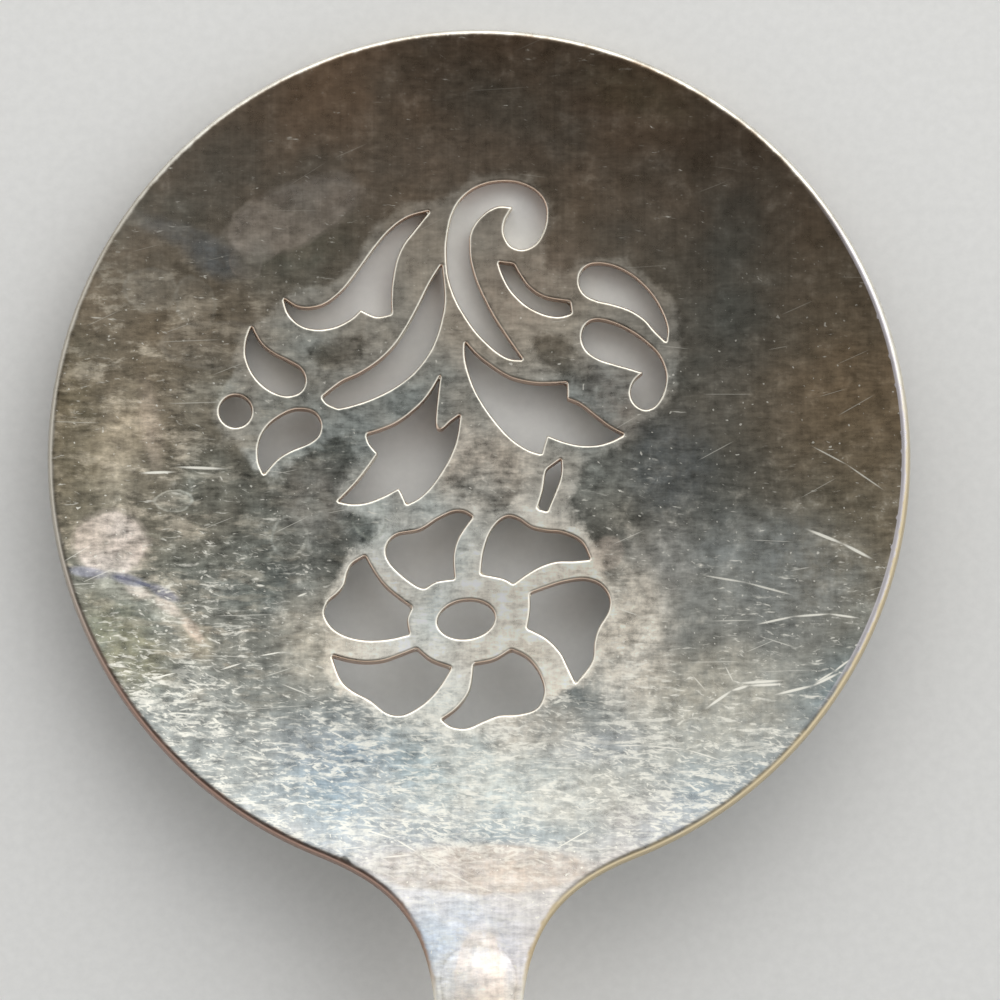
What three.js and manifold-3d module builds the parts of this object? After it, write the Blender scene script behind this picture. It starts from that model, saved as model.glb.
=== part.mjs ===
// Tomato server: a round pierced blade of plated sheet, stamped in one with its neck and tang,
// set in a hollow handle of two soldered shells, closed by a collar and filled with cement.
// Units are millimetres. +X is right and +Y runs from the handle to the blade's tip, seen from above.
// +Z is up, and the server lies on a table at z = 0, on its blade and on the end of its handle.

import * as THREE from 'three';
import { mergeVertices } from 'three/addons/utils/BufferGeometryUtils.js';
import Module from 'manifold-3d';

const wasm = await Module();
wasm.setup();

// Blade
const bladeDiameter = 70;
const sheetThickness = 1.5;
const edgeBevel = 0.25;
const flatDiameter = 24;
const dishDepth = 2.4;
const bladeTilt = THREE.MathUtils.degToRad(6.5);

// Neck, from the blade's rim to the collar
const shoulderWidth = 25;
const flareLength = 3.8;
const neckWidth = 6.2;
const neckLength = 21;
const neckThickness = 2.1;
const thickeningLength = 12;
const crownHeight = 1.1;
const crownMargin = 0.7;
const crownSetback = 4.8;
const crownFrontLength = 3.5;

// Tang
const tangWidth = 4.6;
const tangThickness = 2;
const tangEndWidth = 3;
const tangEndThickness = 1.4;
const tangLength = 45;
const notchDepth = 0.5;
const notchLength = 3;
const firstNotch = 18;
const secondNotch = 30;

// Handle shells
const handleLength = 105;
const mouthWidth = 9.8;
const mouthThickness = 8.4;
const buttWidth = 19;
const buttThickness = 10.4;
const buttRoundLength = 15;
const taperStart = 18;
const shellWall = 0.65;
const threadHeight = 0.35;

// Collar
const collarFrontThickness = 2.3;
const collarSkirtLength = 5;
const collarWall = 0.6;
const collarChamfer = 0.46;
const collarBeadHeight = 0.5;
const collarBeadLength = 0.7;

// Cement and fits
const cementLength = 53;
const fitGap = 0.3;

// Fineness of the faceted shapes
const circleSteps = 60;
const flareSteps = 5;
const dishRings = [
  { share: 0, count: 16 }, { share: 0.3, count: 20 }, { share: 0.6, count: 28 }, { share: 0.85, count: 40 },
];
const crossFractions = [-0.72, -0.4, 0, 0.4, 0.72];
const splineSteps = 2;
const ovalSteps = 12;
const bodyStations = 10;
const capStations = 6;
const collarSides = 24;
const cementRings = 6;
const cutterOverrun = 1.5;

// The piercings as the photograph shows them, in its pixels. Each outline is a list of stretches.
// A stretch starts at a corner and runs smoothly through its other points to the next stretch's corner.
const photoCentre = [479, 453.5];
const photoDiscWidth = 854;
const piercings = {
  wingLeaf: [
    [
      [283, 298], [296, 306], [309, 307.5], [323, 304], [336, 295], [350, 280], [376, 244], [391, 227],
      [408, 215],
    ],
    [[429, 209], [413, 229], [403, 242], [396, 258], [392, 278], [390.5, 296]],
    [[391, 313], [376, 315.5]],
    [[360, 308.5], [350, 318], [334, 326], [316, 328.5], [300, 324.5], [288, 313]],
  ],
  budLeaf: [
    [
      [251, 326], [255, 334.5], [262, 345], [273, 353.5], [287, 360.5], [299, 367.5], [304.5, 377],
      [303.5, 387], [296, 394], [283, 395.5], [267, 388.5], [253.5, 375], [246, 357.5], [246, 341],
    ],
  ],
  dropLeaf: [
    [
      [264, 475], [259, 462], [258.5, 446], [263.5, 432], [273, 421], [289, 411.5], [302, 409.5],
      [314, 413], [320.5, 424], [318, 436], [308, 444], [291, 451], [277, 460],
    ],
  ],
  crescent: [
    [[441.3, 263], [430, 281], [419.5, 302.5], [408, 324], [395, 344], [378, 361], [359, 373.5], [341, 382]],
    [[322, 397], [327, 403.5]],
    [[338, 408.5], [353, 405], [374, 397.5], [396, 386], [415.5, 370], [431, 348], [440, 323], [444, 297]],
  ],
  jaggedLeaf: [
    [[440, 375.5], [433, 388], [424, 400.5], [412, 412], [397, 423], [381, 430]],
    [[366.5, 434.5], [369.5, 444]],
    [[378, 454], [369, 467], [359, 480], [349, 491]],
    [[338, 502], [352, 504.5], [367, 503], [384, 496.5]],
    [[398.8, 488.6], [402.5, 495]],
    [[406.7, 505], [419, 498.5], [431, 487], [441, 473], [450, 457], [456.5, 439]],
    [[460, 415], [451, 421.5], [441, 430], [435.5, 425], [437, 400.5]],
  ],
  scroll: [
    [
      [522.7, 359.5], [509, 358], [495, 349.5], [478, 333], [464.5, 314], [455, 296], [448.5, 276],
      [446.5, 256], [447, 237], [451, 216], [459, 199.5], [473, 187], [491, 180.3], [512, 179.3],
      [529, 184.5], [541, 194], [546.3, 206.5], [545.5, 222.5], [539.5, 237], [531, 245], [520.5, 247.5],
      [510, 243], [504, 231], [505.5, 217.5],
    ],
    [
      [513, 205], [500, 203.5], [487.5, 208.5], [475.5, 220], [469.5, 233], [469, 247], [470.5, 261],
      [476, 280], [485.5, 301], [495, 318.5], [509, 340],
    ],
  ],
  smallCrescent: [
    [[498.3, 260.5]],
    [[513.5, 262.5], [520, 274], [530, 287], [546, 296.5]],
    [[570, 300.5]],
    [[571.5, 312.5], [559, 315.5], [544, 313], [527, 304.5], [512, 290], [503.5, 275]],
  ],
  upperTeardrop: [
    [
      [666.5, 341.5], [667.5, 328], [662, 311], [651, 292.5], [635, 276.5], [618, 266.5], [603, 262.5],
      [590, 263.5], [581.5, 270.5], [579.5, 282], [584.5, 292.5], [596, 299], [613, 303], [630.5, 309],
      [645, 318.5], [655.5, 330.5],
    ],
  ],
  comma: [
    [
      [643.5, 372.5], [635, 380], [631, 390], [632.5, 400], [638.5, 407], [647, 409.5], [656.5, 404.5],
      [664, 391], [666, 374], [659, 355], [643.5, 339.5], [627, 328.5], [609.5, 321], [595, 319],
      [585.5, 324.5], [582, 336], [586, 348.5], [597, 357.5], [614, 363.5], [630, 368],
    ],
  ],
  bigLeaf: [
    [[465, 341.5], [475, 353], [487, 363], [505, 375], [520, 380.5], [540, 383.5]],
    [[567, 382.5]],
    [[567, 399], [580, 404.5], [596, 417], [610, 427.5]],
    [[624, 434.8], [611, 441.5], [596, 445.5], [580, 445.5], [564, 442]],
    [[547, 435.5]],
    [
      [541.5, 454.5], [527, 449.5], [511, 438.5], [498, 424.5], [485, 407], [475, 389.5], [468, 370],
      [465, 355],
    ],
  ],
  tick: [
    [[561, 459.5], [561, 474], [557, 488]],
    [[547, 512]],
    [[537.5, 509], [543, 490], [546, 472], [552, 466]],
  ],
  petalTopLeft: [
    [
      [472.5, 517.5], [464, 512.5], [453, 512.5], [437, 520], [420, 530.5], [398, 535], [388.5, 543],
      [386.5, 554], [391.5, 565], [405, 578], [418, 587],
    ],
    [[425, 589], [437, 582]],
    [[454.5, 579.5], [453.5, 556], [459, 537]],
  ],
  petalLeft: [
    [
      [365.3, 556.5], [353, 564], [348, 573], [345, 585], [338, 594], [329, 602], [325.5, 614],
      [332, 626.5], [343, 634.5], [357, 639], [372, 640.5], [391, 639],
    ],
    [[410, 634.5], [407.5, 620]],
    [[412.3, 608], [397, 597], [384, 585.5], [374, 572]],
  ],
  petalTopRight: [
    [
      [481, 574.5], [483.5, 553], [489.5, 534.5], [498, 522.5], [508, 517], [519, 520], [531, 528],
      [546, 531.5], [563, 533.5], [581, 542.5],
    ],
    [[590, 560], [573, 561.5], [556, 562], [540, 567], [526, 575]],
    [[513, 584.5], [503, 579]],
  ],
  petalRight: [
    [
      [530, 594], [549, 587], [566, 582], [585, 580], [600, 585.5], [608.5, 598], [607.5, 612],
      [598, 628], [593.5, 643], [591, 662],
    ],
    [[575, 683], [567, 666], [560, 652.5], [546, 638.5]],
    [[527, 628.5], [530, 611]],
  ],
  petalBottomRight: [
    [
      [511, 650], [526, 657.5], [537.5, 671], [543.5, 688], [541, 701.5], [533, 710], [517, 714],
      [499, 715], [484, 720.5], [467, 727.5], [452, 726],
    ],
    [[442, 719], [457, 708], [470, 690]],
    [[474, 664], [494, 660]],
  ],
  petalBottomLeft: [
    [[333, 656], [350, 660.5], [367, 662.5], [384, 661], [399, 656]],
    [[417, 649], [431, 660.5]],
    [
      [451.5, 668], [440, 686.5], [428, 700], [414, 710], [401, 715], [387, 712], [372, 700.5],
      [353, 690], [342, 679],
    ],
  ],
};
const dotCentre = [235.5, 411.5];
const dotDiameter = 2.65;
const eyeCentre = [466.3, 620];
const eyeLength = 4.7;
const eyeWidth = 3.15;
const eyeTurn = THREE.MathUtils.degToRad(8);

// Sizes that follow from the ones above. A station is a distance from the blade's centre to the handle.
const bladeRadius = bladeDiameter / 2;
const flatRadius = flatDiameter / 2;
const photoScale = bladeDiameter / photoDiscWidth;
const dishCurve = dishDepth / (bladeRadius - flatRadius) ** 2;
const tiltSlope = Math.tan(bladeTilt);
const rimSlope = tiltSlope + 2 * dishCurve * (bladeRadius - flatRadius);
const rimHeight = tiltSlope * bladeRadius + dishDepth;
const shoulderStation = Math.sqrt(bladeRadius ** 2 - (shoulderWidth / 2) ** 2);
const crownStation = bladeRadius + crownSetback;
const junctionStation = bladeRadius + crownSetback / 2;
const neckEnd = bladeRadius + neckLength;
const collarFront = neckEnd + fitGap;
const mouthStation = collarFront + collarFrontThickness + fitGap;
const buttStation = mouthStation + handleLength - buttRoundLength;
const axisDepth = sheetThickness / 2;

// The blade's lowest point lies where its dish has turned level, and the handle's slope brings
// the round end of the handle down to the same table.
const levelRadius = Math.min(bladeRadius, flatRadius + tiltSlope / (2 * dishCurve));
const tableHeight = dishHeight(levelRadius) - tiltSlope * levelRadius - sheetThickness;

function handleSlopeToTable() {
  let slope = 0;
  for (let pass = 0; pass < 6; pass++) {
    const cosine = 1 / Math.hypot(1, slope);
    const reach = cosine * Math.hypot(buttThickness / 2, buttRoundLength * slope);
    const axisHeight = tableHeight + reach + axisDepth * cosine;
    const climb = axisHeight - rimHeight - neckLength * rimSlope / 2;
    slope = climb / (neckLength / 2 + buttStation - neckEnd);
  }
  return slope;
}
const handleSlope = handleSlopeToTable();

function dishHeight(radius) {
  return radius <= flatRadius ? 0 : dishCurve * (radius - flatRadius) ** 2;
}

// Height of the top face along the middle line: tilted and dished blade, bent neck, straight handle.
function spineHeight(station) {
  if (station <= bladeRadius) return tiltSlope * station + dishHeight(station);
  const run = Math.min(station - bladeRadius, neckLength);
  const bent = rimHeight + rimSlope * run + (handleSlope - rimSlope) * run ** 2 / (2 * neckLength);
  return bent + handleSlope * Math.max(0, station - neckEnd);
}

// Height of the top face over any point of the plan. The dish fades out along the neck.
function topHeight(x, y) {
  const station = -y;
  const radius = Math.hypot(x, station);
  if (station <= shoulderStation) return tiltSlope * station + dishHeight(radius);
  const left = 1 - THREE.MathUtils.smoothstep(station, shoulderStation, neckEnd);
  const dished = spineHeight(radius) - tiltSlope * (radius - station);
  return THREE.MathUtils.lerp(spineHeight(station), dished, left);
}

// The point at a height over the top face, square to that face.
function onServer(x, y, offset) {
  const probe = 0.01;
  const slopeX = (topHeight(x + probe, y) - topHeight(x - probe, y)) / (2 * probe);
  const slopeY = (topHeight(x, y + probe) - topHeight(x, y - probe)) / (2 * probe);
  const rise = offset / Math.hypot(1, slopeX, slopeY);
  return [x - slopeX * rise, y - slopeY * rise, topHeight(x, y) + rise];
}

function geometryFrom(points, triangles) {
  const geometry = new THREE.BufferGeometry();
  geometry.setAttribute('position', new THREE.Float32BufferAttribute(points.flat(), 3));
  geometry.setIndex(triangles.flat());
  return geometry;
}

// Two triangles for each cell between two rows of vertex numbers.
function strip(rowA, rowB) {
  const triangles = [];
  for (let i = 0; i + 1 < rowA.length; i++) {
    triangles.push([rowA[i], rowB[i], rowB[i + 1]], [rowA[i], rowB[i + 1], rowA[i + 1]]);
  }
  return triangles;
}

// Triangles between an inner and an outer ring that hold different numbers of points.
function ringBand(innerRing, outerRing, fullTurn) {
  const triangles = [];
  const at = (ring, i) => ring.indices[i % ring.indices.length];
  const angleAt = (ring, i) => (i < ring.angles.length ? ring.angles[i] : ring.angles[0] + fullTurn);
  let a = 0;
  let b = 0;
  while (a < innerRing.indices.length || b < outerRing.indices.length) {
    const innerDone = a === innerRing.indices.length;
    const outerDone = b === outerRing.indices.length;
    const outerNext = !outerDone && (innerDone || angleAt(outerRing, b + 1) <= angleAt(innerRing, a + 1));
    const third = outerNext ? at(outerRing, b + 1) : at(innerRing, a + 1);
    triangles.push([at(innerRing, a), at(outerRing, b), third]);
    if (outerNext) b += 1;
    else a += 1;
  }
  return triangles;
}

function flipped(triangles) {
  return triangles.map(([a, b, c]) => [a, c, b]);
}

function solidFrom(geometry) {
  geometry.deleteAttribute('normal');
  geometry.deleteAttribute('uv');
  const merged = mergeVertices(geometry);
  const vertProperties = new Float32Array(merged.attributes.position.array);
  const triVerts = new Uint32Array(merged.index.array);
  return new wasm.Manifold(new wasm.Mesh({ numProp: 3, vertProperties, triVerts }));
}

function geometryOf(solid) {
  const mesh = solid.getMesh();
  const geometry = new THREE.BufferGeometry();
  geometry.setAttribute('position', new THREE.BufferAttribute(mesh.vertProperties, 3));
  geometry.setIndex(new THREE.BufferAttribute(mesh.triVerts, 1));
  return geometry;
}

// Blade blank

function halfWidthAt(station) {
  const neck = neckWidth / 2;
  return neck + (shoulderWidth / 2 - neck) * Math.exp((shoulderStation - station) / flareLength);
}

// Positions across a row of the neck, from left to right, with a bevel at each edge.
function acrossRow(halfWidth) {
  const inner = halfWidth - edgeBevel;
  return [-halfWidth, -inner, ...crossFractions.map((fraction) => fraction * halfWidth), inner, halfWidth];
}

// The raised crown of the neck is a dome with a rounded front.
function crownAt(x, station) {
  const across = x / (halfWidthAt(station) - crownMargin);
  const along = Math.max(0, crownStation + crownFrontLength - station) / crownFrontLength;
  return crownHeight * Math.max(0, 1 - across ** 2 - along ** 2);
}

function thicknessAt(station) {
  const grown = THREE.MathUtils.smoothstep(station, junctionStation, junctionStation + thickeningLength);
  return sheetThickness + (neckThickness - sheetThickness) * grown;
}

// The blade's outline seen from above, turning left, from the right end of the junction row to its left end.
function bladeOutline() {
  const side = [];
  for (let i = 0; i < flareSteps; i++) {
    const station = THREE.MathUtils.lerp(junctionStation, shoulderStation, i / flareSteps);
    side.push([halfWidthAt(station), -station]);
  }
  const shoulderAngle = Math.atan2(-shoulderStation, shoulderWidth / 2);
  const sweep = Math.PI - 2 * shoulderAngle;
  const rim = [];
  for (let i = 0; i <= circleSteps; i++) {
    const angle = shoulderAngle + sweep * i / circleSteps;
    rim.push([bladeRadius * Math.cos(angle), bladeRadius * Math.sin(angle)]);
  }
  const otherSide = side.map(([x, y]) => [-x, y]).reverse();
  return [...side, ...rim, ...otherSide];
}

// Rows of the neck and tang: station, half width, height of the top and of the bottom along the axis.
function neckRows() {
  const rows = [];
  const crownStops = [0, 0.25, 0.55, 1];
  const stations = crownStops.map((stop) => crownStation + stop * crownFrontLength);
  const domeEnd = crownStation + crownFrontLength;
  const neckStops = [0.25, 0.5, 0.75, 1];
  for (const stop of neckStops) stations.push(THREE.MathUtils.lerp(domeEnd, neckEnd, stop));
  for (const station of stations) {
    rows.push({ station, half: halfWidthAt(station), crowned: true, top: 0, bottom: -thicknessAt(station) });
  }
  const notches = [];
  for (const start of [firstNotch, secondNotch]) {
    const end = start + notchLength;
    notches.push([start - notchDepth, 0], [start, notchDepth], [end, notchDepth], [end + notchDepth, 0]);
  }
  for (const [along, cut] of [[0, 0], ...notches, [tangLength, 0]]) {
    const share = along / tangLength;
    const half = THREE.MathUtils.lerp(tangWidth, tangEndWidth, share) / 2 - cut;
    const reach = THREE.MathUtils.lerp(tangThickness, tangEndThickness, share) / 2;
    const station = neckEnd + along;
    rows.push({ station, half, crowned: false, top: reach - axisDepth, bottom: -reach - axisDepth });
  }
  return rows;
}

// The blank is one closed sheet: rings round the blade's centre, joined to rows along neck and tang.
function bladeBlank() {
  const tops = [];
  const bottoms = [];
  function addPoint(x, y, top, bottom) {
    tops.push(onServer(x, y, top));
    bottoms.push(onServer(x, y, bottom));
    return tops.length - 1;
  }
  const thin = -sheetThickness;
  const sideAndRim = bladeOutline();
  const junctionHalf = halfWidthAt(junctionStation);
  const junctionRow = acrossRow(junctionHalf);
  const inRow = junctionRow.slice(1, -1).map((x) => [x, -junctionStation]);
  const outline = [...sideAndRim, ...inRow];

  // Rings have more points the wider they are. Angles run once round from the outline's first point.
  const centre = addPoint(0, 0, 0, thin);
  const firstAngle = Math.atan2(outline[0][1], outline[0][0]);
  const fullTurn = 2 * Math.PI;
  const turned = (x, y) => (Math.atan2(y, x) - firstAngle + fullTurn) % fullTurn;
  const outlineAngles = outline.map(([x, y]) => firstAngle + turned(x, y));
  const rings = dishRings.map(({ share, count }) => {
    const radius = THREE.MathUtils.lerp(flatRadius, bladeRadius - edgeBevel, share);
    const angles = Array.from({ length: count }, (_, i) => firstAngle + fullTurn * i / count);
    const indices = angles.map((angle) => {
      return addPoint(radius * Math.cos(angle), radius * Math.sin(angle), 0, thin);
    });
    return { indices, angles };
  });
  const inset = outline.map(([x, y]) => {
    const share = 1 - edgeBevel / Math.hypot(x, y);
    return addPoint(x * share, y * share, 0, thin);
  });
  const rim = outline.map(([x, y], i) => {
    const bevel = i < sideAndRim.length ? edgeBevel : 0;
    return addPoint(x, y, -bevel, thin + bevel);
  });
  rings.push({ indices: inset, angles: outlineAngles });

  const inner = rings[0].indices;
  const faces = inner.map((point, i) => [centre, point, inner[(i + 1) % inner.length]]);
  for (let k = 0; k + 1 < rings.length; k++) faces.push(...ringBand(rings[k], rings[k + 1], fullTurn));
  faces.push(...strip([...inset, inset[0]], [...rim, rim[0]]));

  let row = [rim[sideAndRim.length - 1], ...rim.slice(sideAndRim.length), rim[0]];
  const leftEdge = [];
  const rightEdge = [];
  for (const { station, half, crowned, top, bottom } of neckRows()) {
    const xs = acrossRow(half);
    const next = xs.map((x, i) => {
      const bevel = i === 0 || i === xs.length - 1 ? edgeBevel : 0;
      const crown = crowned ? crownAt(x, station) : 0;
      return addPoint(x, -station, top + crown - bevel, bottom + bevel);
    });
    faces.push(...strip(row, next));
    leftEdge.push(next[0]);
    rightEdge.push(next[next.length - 1]);
    row = next;
  }

  const edge = rim.slice(0, sideAndRim.length);
  const loop = [...edge, ...leftEdge, ...row.slice(1, -1), ...rightEdge.reverse(), edge[0]];
  const below = tops.length;
  const walls = strip(loop, loop.map((i) => i + below));
  const floor = flipped(faces).map((triangle) => triangle.map((i) => i + below));
  return geometryFrom([...tops, ...bottoms], [...faces, ...floor, ...walls]);
}

// Piercings

function fromPhoto([px, py]) {
  return new THREE.Vector2((px - photoCentre[0]) * photoScale, (photoCentre[1] - py) * photoScale);
}

function piercingShape(stretches) {
  const shape = new THREE.Shape();
  const first = fromPhoto(stretches[0][0]);
  shape.moveTo(first.x, first.y);
  stretches.forEach((stretch, i) => {
    const corner = fromPhoto(stretches[(i + 1) % stretches.length][0]);
    const through = stretch.slice(1).map(fromPhoto);
    if (through.length === 0) shape.lineTo(corner.x, corner.y);
    else shape.splineThru([...through, corner]);
  });
  return shape;
}

function ovalShape(centre, length, width, turn) {
  const { x, y } = fromPhoto(centre);
  const shape = new THREE.Shape();
  shape.absellipse(x, y, length / 2, width / 2, 0, 2 * Math.PI, false, turn);
  return shape;
}

// A cutter runs square through the dished sheet, because the sheet was pierced while it was flat.
function cutter(shape, curveSegments) {
  const depth = sheetThickness + 2 * cutterOverrun;
  const geometry = new THREE.ExtrudeGeometry(shape, { depth, bevelEnabled: false, curveSegments });
  geometry.translate(0, 0, -sheetThickness - cutterOverrun);
  const position = geometry.attributes.position;
  for (let i = 0; i < position.count; i++) {
    const placed = onServer(position.getX(i), position.getY(i), position.getZ(i));
    position.setXYZ(i, ...placed);
  }
  return solidFrom(geometry);
}

function piercedBlade() {
  let solid = solidFrom(bladeBlank());
  for (const stretches of Object.values(piercings)) {
    solid = solid.subtract(cutter(piercingShape(stretches), splineSteps));
  }
  solid = solid.subtract(cutter(ovalShape(dotCentre, dotDiameter, dotDiameter, 0), ovalSteps));
  solid = solid.subtract(cutter(ovalShape(eyeCentre, eyeLength, eyeWidth, eyeTurn), ovalSteps));
  return geometryOf(solid);
}

// Handle

// Half width and half thickness of the handle at a station of its body.
function bodySection(station, inset) {
  const swell = THREE.MathUtils.smoothstep(station, mouthStation + taperStart, buttStation);
  const half = THREE.MathUtils.lerp(mouthWidth, buttWidth, swell) / 2 - inset;
  const reach = THREE.MathUtils.lerp(mouthThickness, buttThickness, swell) / 2 - inset;
  return { station, half, reach };
}

// The same on the rounded butt, where the angle runs from 0 at the body to a right angle at the tip.
function buttSection(angle, inset) {
  const station = buttStation + (buttRoundLength - inset) * Math.sin(angle);
  const half = (buttWidth / 2 - inset) * Math.cos(angle);
  const reach = (buttThickness / 2 - inset) * Math.cos(angle);
  return { station, half, reach };
}

// Sections of a shell from its mouth to the last before its tip. The thread starts clear of the collar.
function shellSections(inset) {
  const sections = [bodySection(mouthStation, inset)];
  for (let i = 0; i < bodyStations; i++) {
    const station = THREE.MathUtils.lerp(mouthStation + collarSkirtLength, buttStation, i / bodyStations);
    sections.push({ ...bodySection(station, inset), threaded: i > 0 });
  }
  for (let i = 0; i < capStations; i++) {
    sections.push({ ...buttSection(Math.PI / 2 * i / capStations, inset), threaded: true });
  }
  return sections;
}

// Angles across a half shell, from its right seam to its left, closer round the raised thread.
const shellAngles = [0, 12, 18, 24, 30, 36, 54, 72, 90, 108, 126, 144, 150, 156, 162, 168, 180];
const threadAngles = [24, 156];

// One half shell. Side is 1 for the front shell, over the seam, and -1 for the back shell.
function handleShell(side) {
  const points = [];
  function surface(inset) {
    function row({ station, half, reach, threaded }) {
      return shellAngles.map((degrees) => {
        const angle = THREE.MathUtils.degToRad(degrees);
        const raised = threaded && inset === 0 && threadAngles.includes(degrees) ? threadHeight : 0;
        const x = (half + raised) * Math.cos(angle);
        const lift = fitGap / 2 + (reach - fitGap / 2 + raised) * Math.sin(angle);
        points.push(onServer(x, -station, side * lift - axisDepth));
        return points.length - 1;
      });
    }
    const rows = shellSections(inset).map(row);
    const tip = buttSection(Math.PI / 2, inset);
    points.push(onServer(0, -tip.station, side * fitGap / 2 - axisDepth));
    const apex = points.length - 1;
    rows.push(shellAngles.map(() => apex));
    return rows;
  }
  const outside = surface(0);
  const inside = surface(shellWall);
  const triangles = [];
  for (let i = 0; i + 1 < outside.length; i++) {
    triangles.push(...strip(outside[i], outside[i + 1]), ...flipped(strip(inside[i], inside[i + 1])));
  }
  const last = shellAngles.length - 1;
  const column = (rows, j) => rows.map((row) => row[j]);
  triangles.push(...flipped(strip(outside[0], inside[0])));
  triangles.push(...strip(column(outside, 0), column(inside, 0)));
  triangles.push(...flipped(strip(column(outside, last), column(inside, last))));
  const whole = triangles.filter(([a, b, c]) => a !== b && b !== c && c !== a);
  return geometryFrom(points, side > 0 ? flipped(whole) : whole);
}

// A closed ring of points round the handle's axis, on an ellipse or on a rectangle.
function ellipseRing(half, reach) {
  return (angle) => [half * Math.cos(angle), reach * Math.sin(angle)];
}

function rectangleRing(half, reach) {
  return (angle) => {
    const longest = Math.max(Math.abs(Math.cos(angle)), Math.abs(Math.sin(angle)));
    return [half * Math.cos(angle) / longest, reach * Math.sin(angle) / longest];
  };
}

// A solid whose skin passes through rings, one after another. The last ring joins the first, or both
// ends are closed by a point in their middle.
function loftedSolid(rings, hollow) {
  const points = [];
  const rows = rings.map(({ station, ring }) => {
    const row = [];
    for (let i = 0; i < collarSides; i++) {
      const [x, lift] = ring(2 * Math.PI * i / collarSides);
      points.push(onServer(x, -station, lift - axisDepth));
      row.push(points.length - 1);
    }
    return [...row, row[0]];
  });
  const triangles = [];
  for (let i = 0; i + 1 < rows.length; i++) triangles.push(...strip(rows[i + 1], rows[i]));
  if (hollow) {
    triangles.push(...strip(rows[0], rows[rows.length - 1]));
  } else {
    for (const [index, turn] of [[0, true], [rows.length - 1, false]]) {
      points.push(onServer(0, -rings[index].station, -axisDepth));
      const middle = points.length - 1;
      const fan = rows[index].slice(0, -1).map((a, i) => [middle, a, rows[index][i + 1]]);
      triangles.push(...(turn ? flipped(fan) : fan));
    }
  }
  return geometryFrom(points, triangles);
}

// The collar is a drawn cap: a front wall with a slot for the tang, a bead, and a skirt over the shells.
function handleCollar() {
  const slot = rectangleRing(tangWidth / 2 + fitGap, tangThickness / 2 + fitGap);
  const grown = (by) => ellipseRing(mouthWidth / 2 + by, mouthThickness / 2 + by);
  const skirtInside = fitGap;
  const skirtOutside = fitGap + collarWall;
  const bead = skirtOutside + collarBeadHeight;
  const wallEnd = collarFront + collarFrontThickness;
  const skirtEnd = wallEnd + collarSkirtLength;
  const beadMiddle = collarFront + (collarChamfer + collarFrontThickness) / 2;
  return loftedSolid([
    { station: collarFront, ring: slot },
    { station: collarFront, ring: grown(skirtOutside - collarChamfer) },
    { station: collarFront + collarChamfer, ring: grown(skirtOutside) },
    { station: beadMiddle - collarBeadLength / 2, ring: grown(bead) },
    { station: beadMiddle + collarBeadLength / 2, ring: grown(bead) },
    { station: wallEnd, ring: grown(skirtOutside) },
    { station: skirtEnd, ring: grown(skirtOutside) },
    { station: skirtEnd, ring: grown(skirtInside) },
    { station: wallEnd, ring: grown(skirtInside) },
    { station: wallEnd, ring: slot },
  ], true);
}

// Cement fills the handle from its mouth to past the tang's end, and leaves the tang's own slot.
function handleCement() {
  const rings = [];
  const slotEnd = tangLength + neckEnd + fitGap;
  const cementEnd = mouthStation + cementLength;
  const slot = rectangleRing(tangWidth / 2 + fitGap, tangThickness / 2 + fitGap);
  rings.push({ station: slotEnd, ring: slot }, { station: mouthStation, ring: slot });
  for (let i = 0; i <= cementRings; i++) {
    const station = THREE.MathUtils.lerp(mouthStation, cementEnd, i / cementRings);
    const { half, reach } = bodySection(station, shellWall + fitGap);
    rings.push({ station, ring: ellipseRing(half, reach) });
  }
  return loftedSolid(rings, false);
}

// Assembly

function plated(color, roughness) {
  return new THREE.MeshStandardMaterial({ color, roughness, metalness: 1 });
}

function part(name, geometry, material) {
  const mesh = new THREE.Mesh(geometry.toNonIndexed(), material);
  mesh.geometry.computeVertexNormals();
  mesh.name = name;
  return mesh;
}

const pieces = new THREE.Group();
pieces.add(part('pierced_blade', piercedBlade(), plated(0x8f897c, 0.38)));
pieces.add(part('handle_collar', handleCollar(), plated(0x98928a, 0.34)));
pieces.add(part('handle_front_shell', handleShell(1), plated(0x95907f, 0.36)));
pieces.add(part('handle_back_shell', handleShell(-1), plated(0x8b8577, 0.4)));
const cement = new THREE.MeshStandardMaterial({ color: 0x4d4238, roughness: 0.9, metalness: 0 });
pieces.add(part('handle_cement', handleCement(), cement));

// The origin is the middle of the server's footprint on the table.
const box = new THREE.Box3().setFromObject(pieces);
const middle = box.getCenter(new THREE.Vector3());
pieces.position.set(-middle.x, -middle.y, -box.min.z);

const tomatoServer = new THREE.Group();
tomatoServer.add(pieces);

export default tomatoServer;
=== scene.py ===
# Tomato server: the fine shapes, finishes, light and camera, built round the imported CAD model.
# Everything is in metres and in the CAD model's frame: +X right, +Y to the blade's tip, +Z up.

import math
from types import SimpleNamespace

import bpy
import numpy as np
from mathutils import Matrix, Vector, kdtree
from mathutils.geometry import delaunay_2d_cdt


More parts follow.
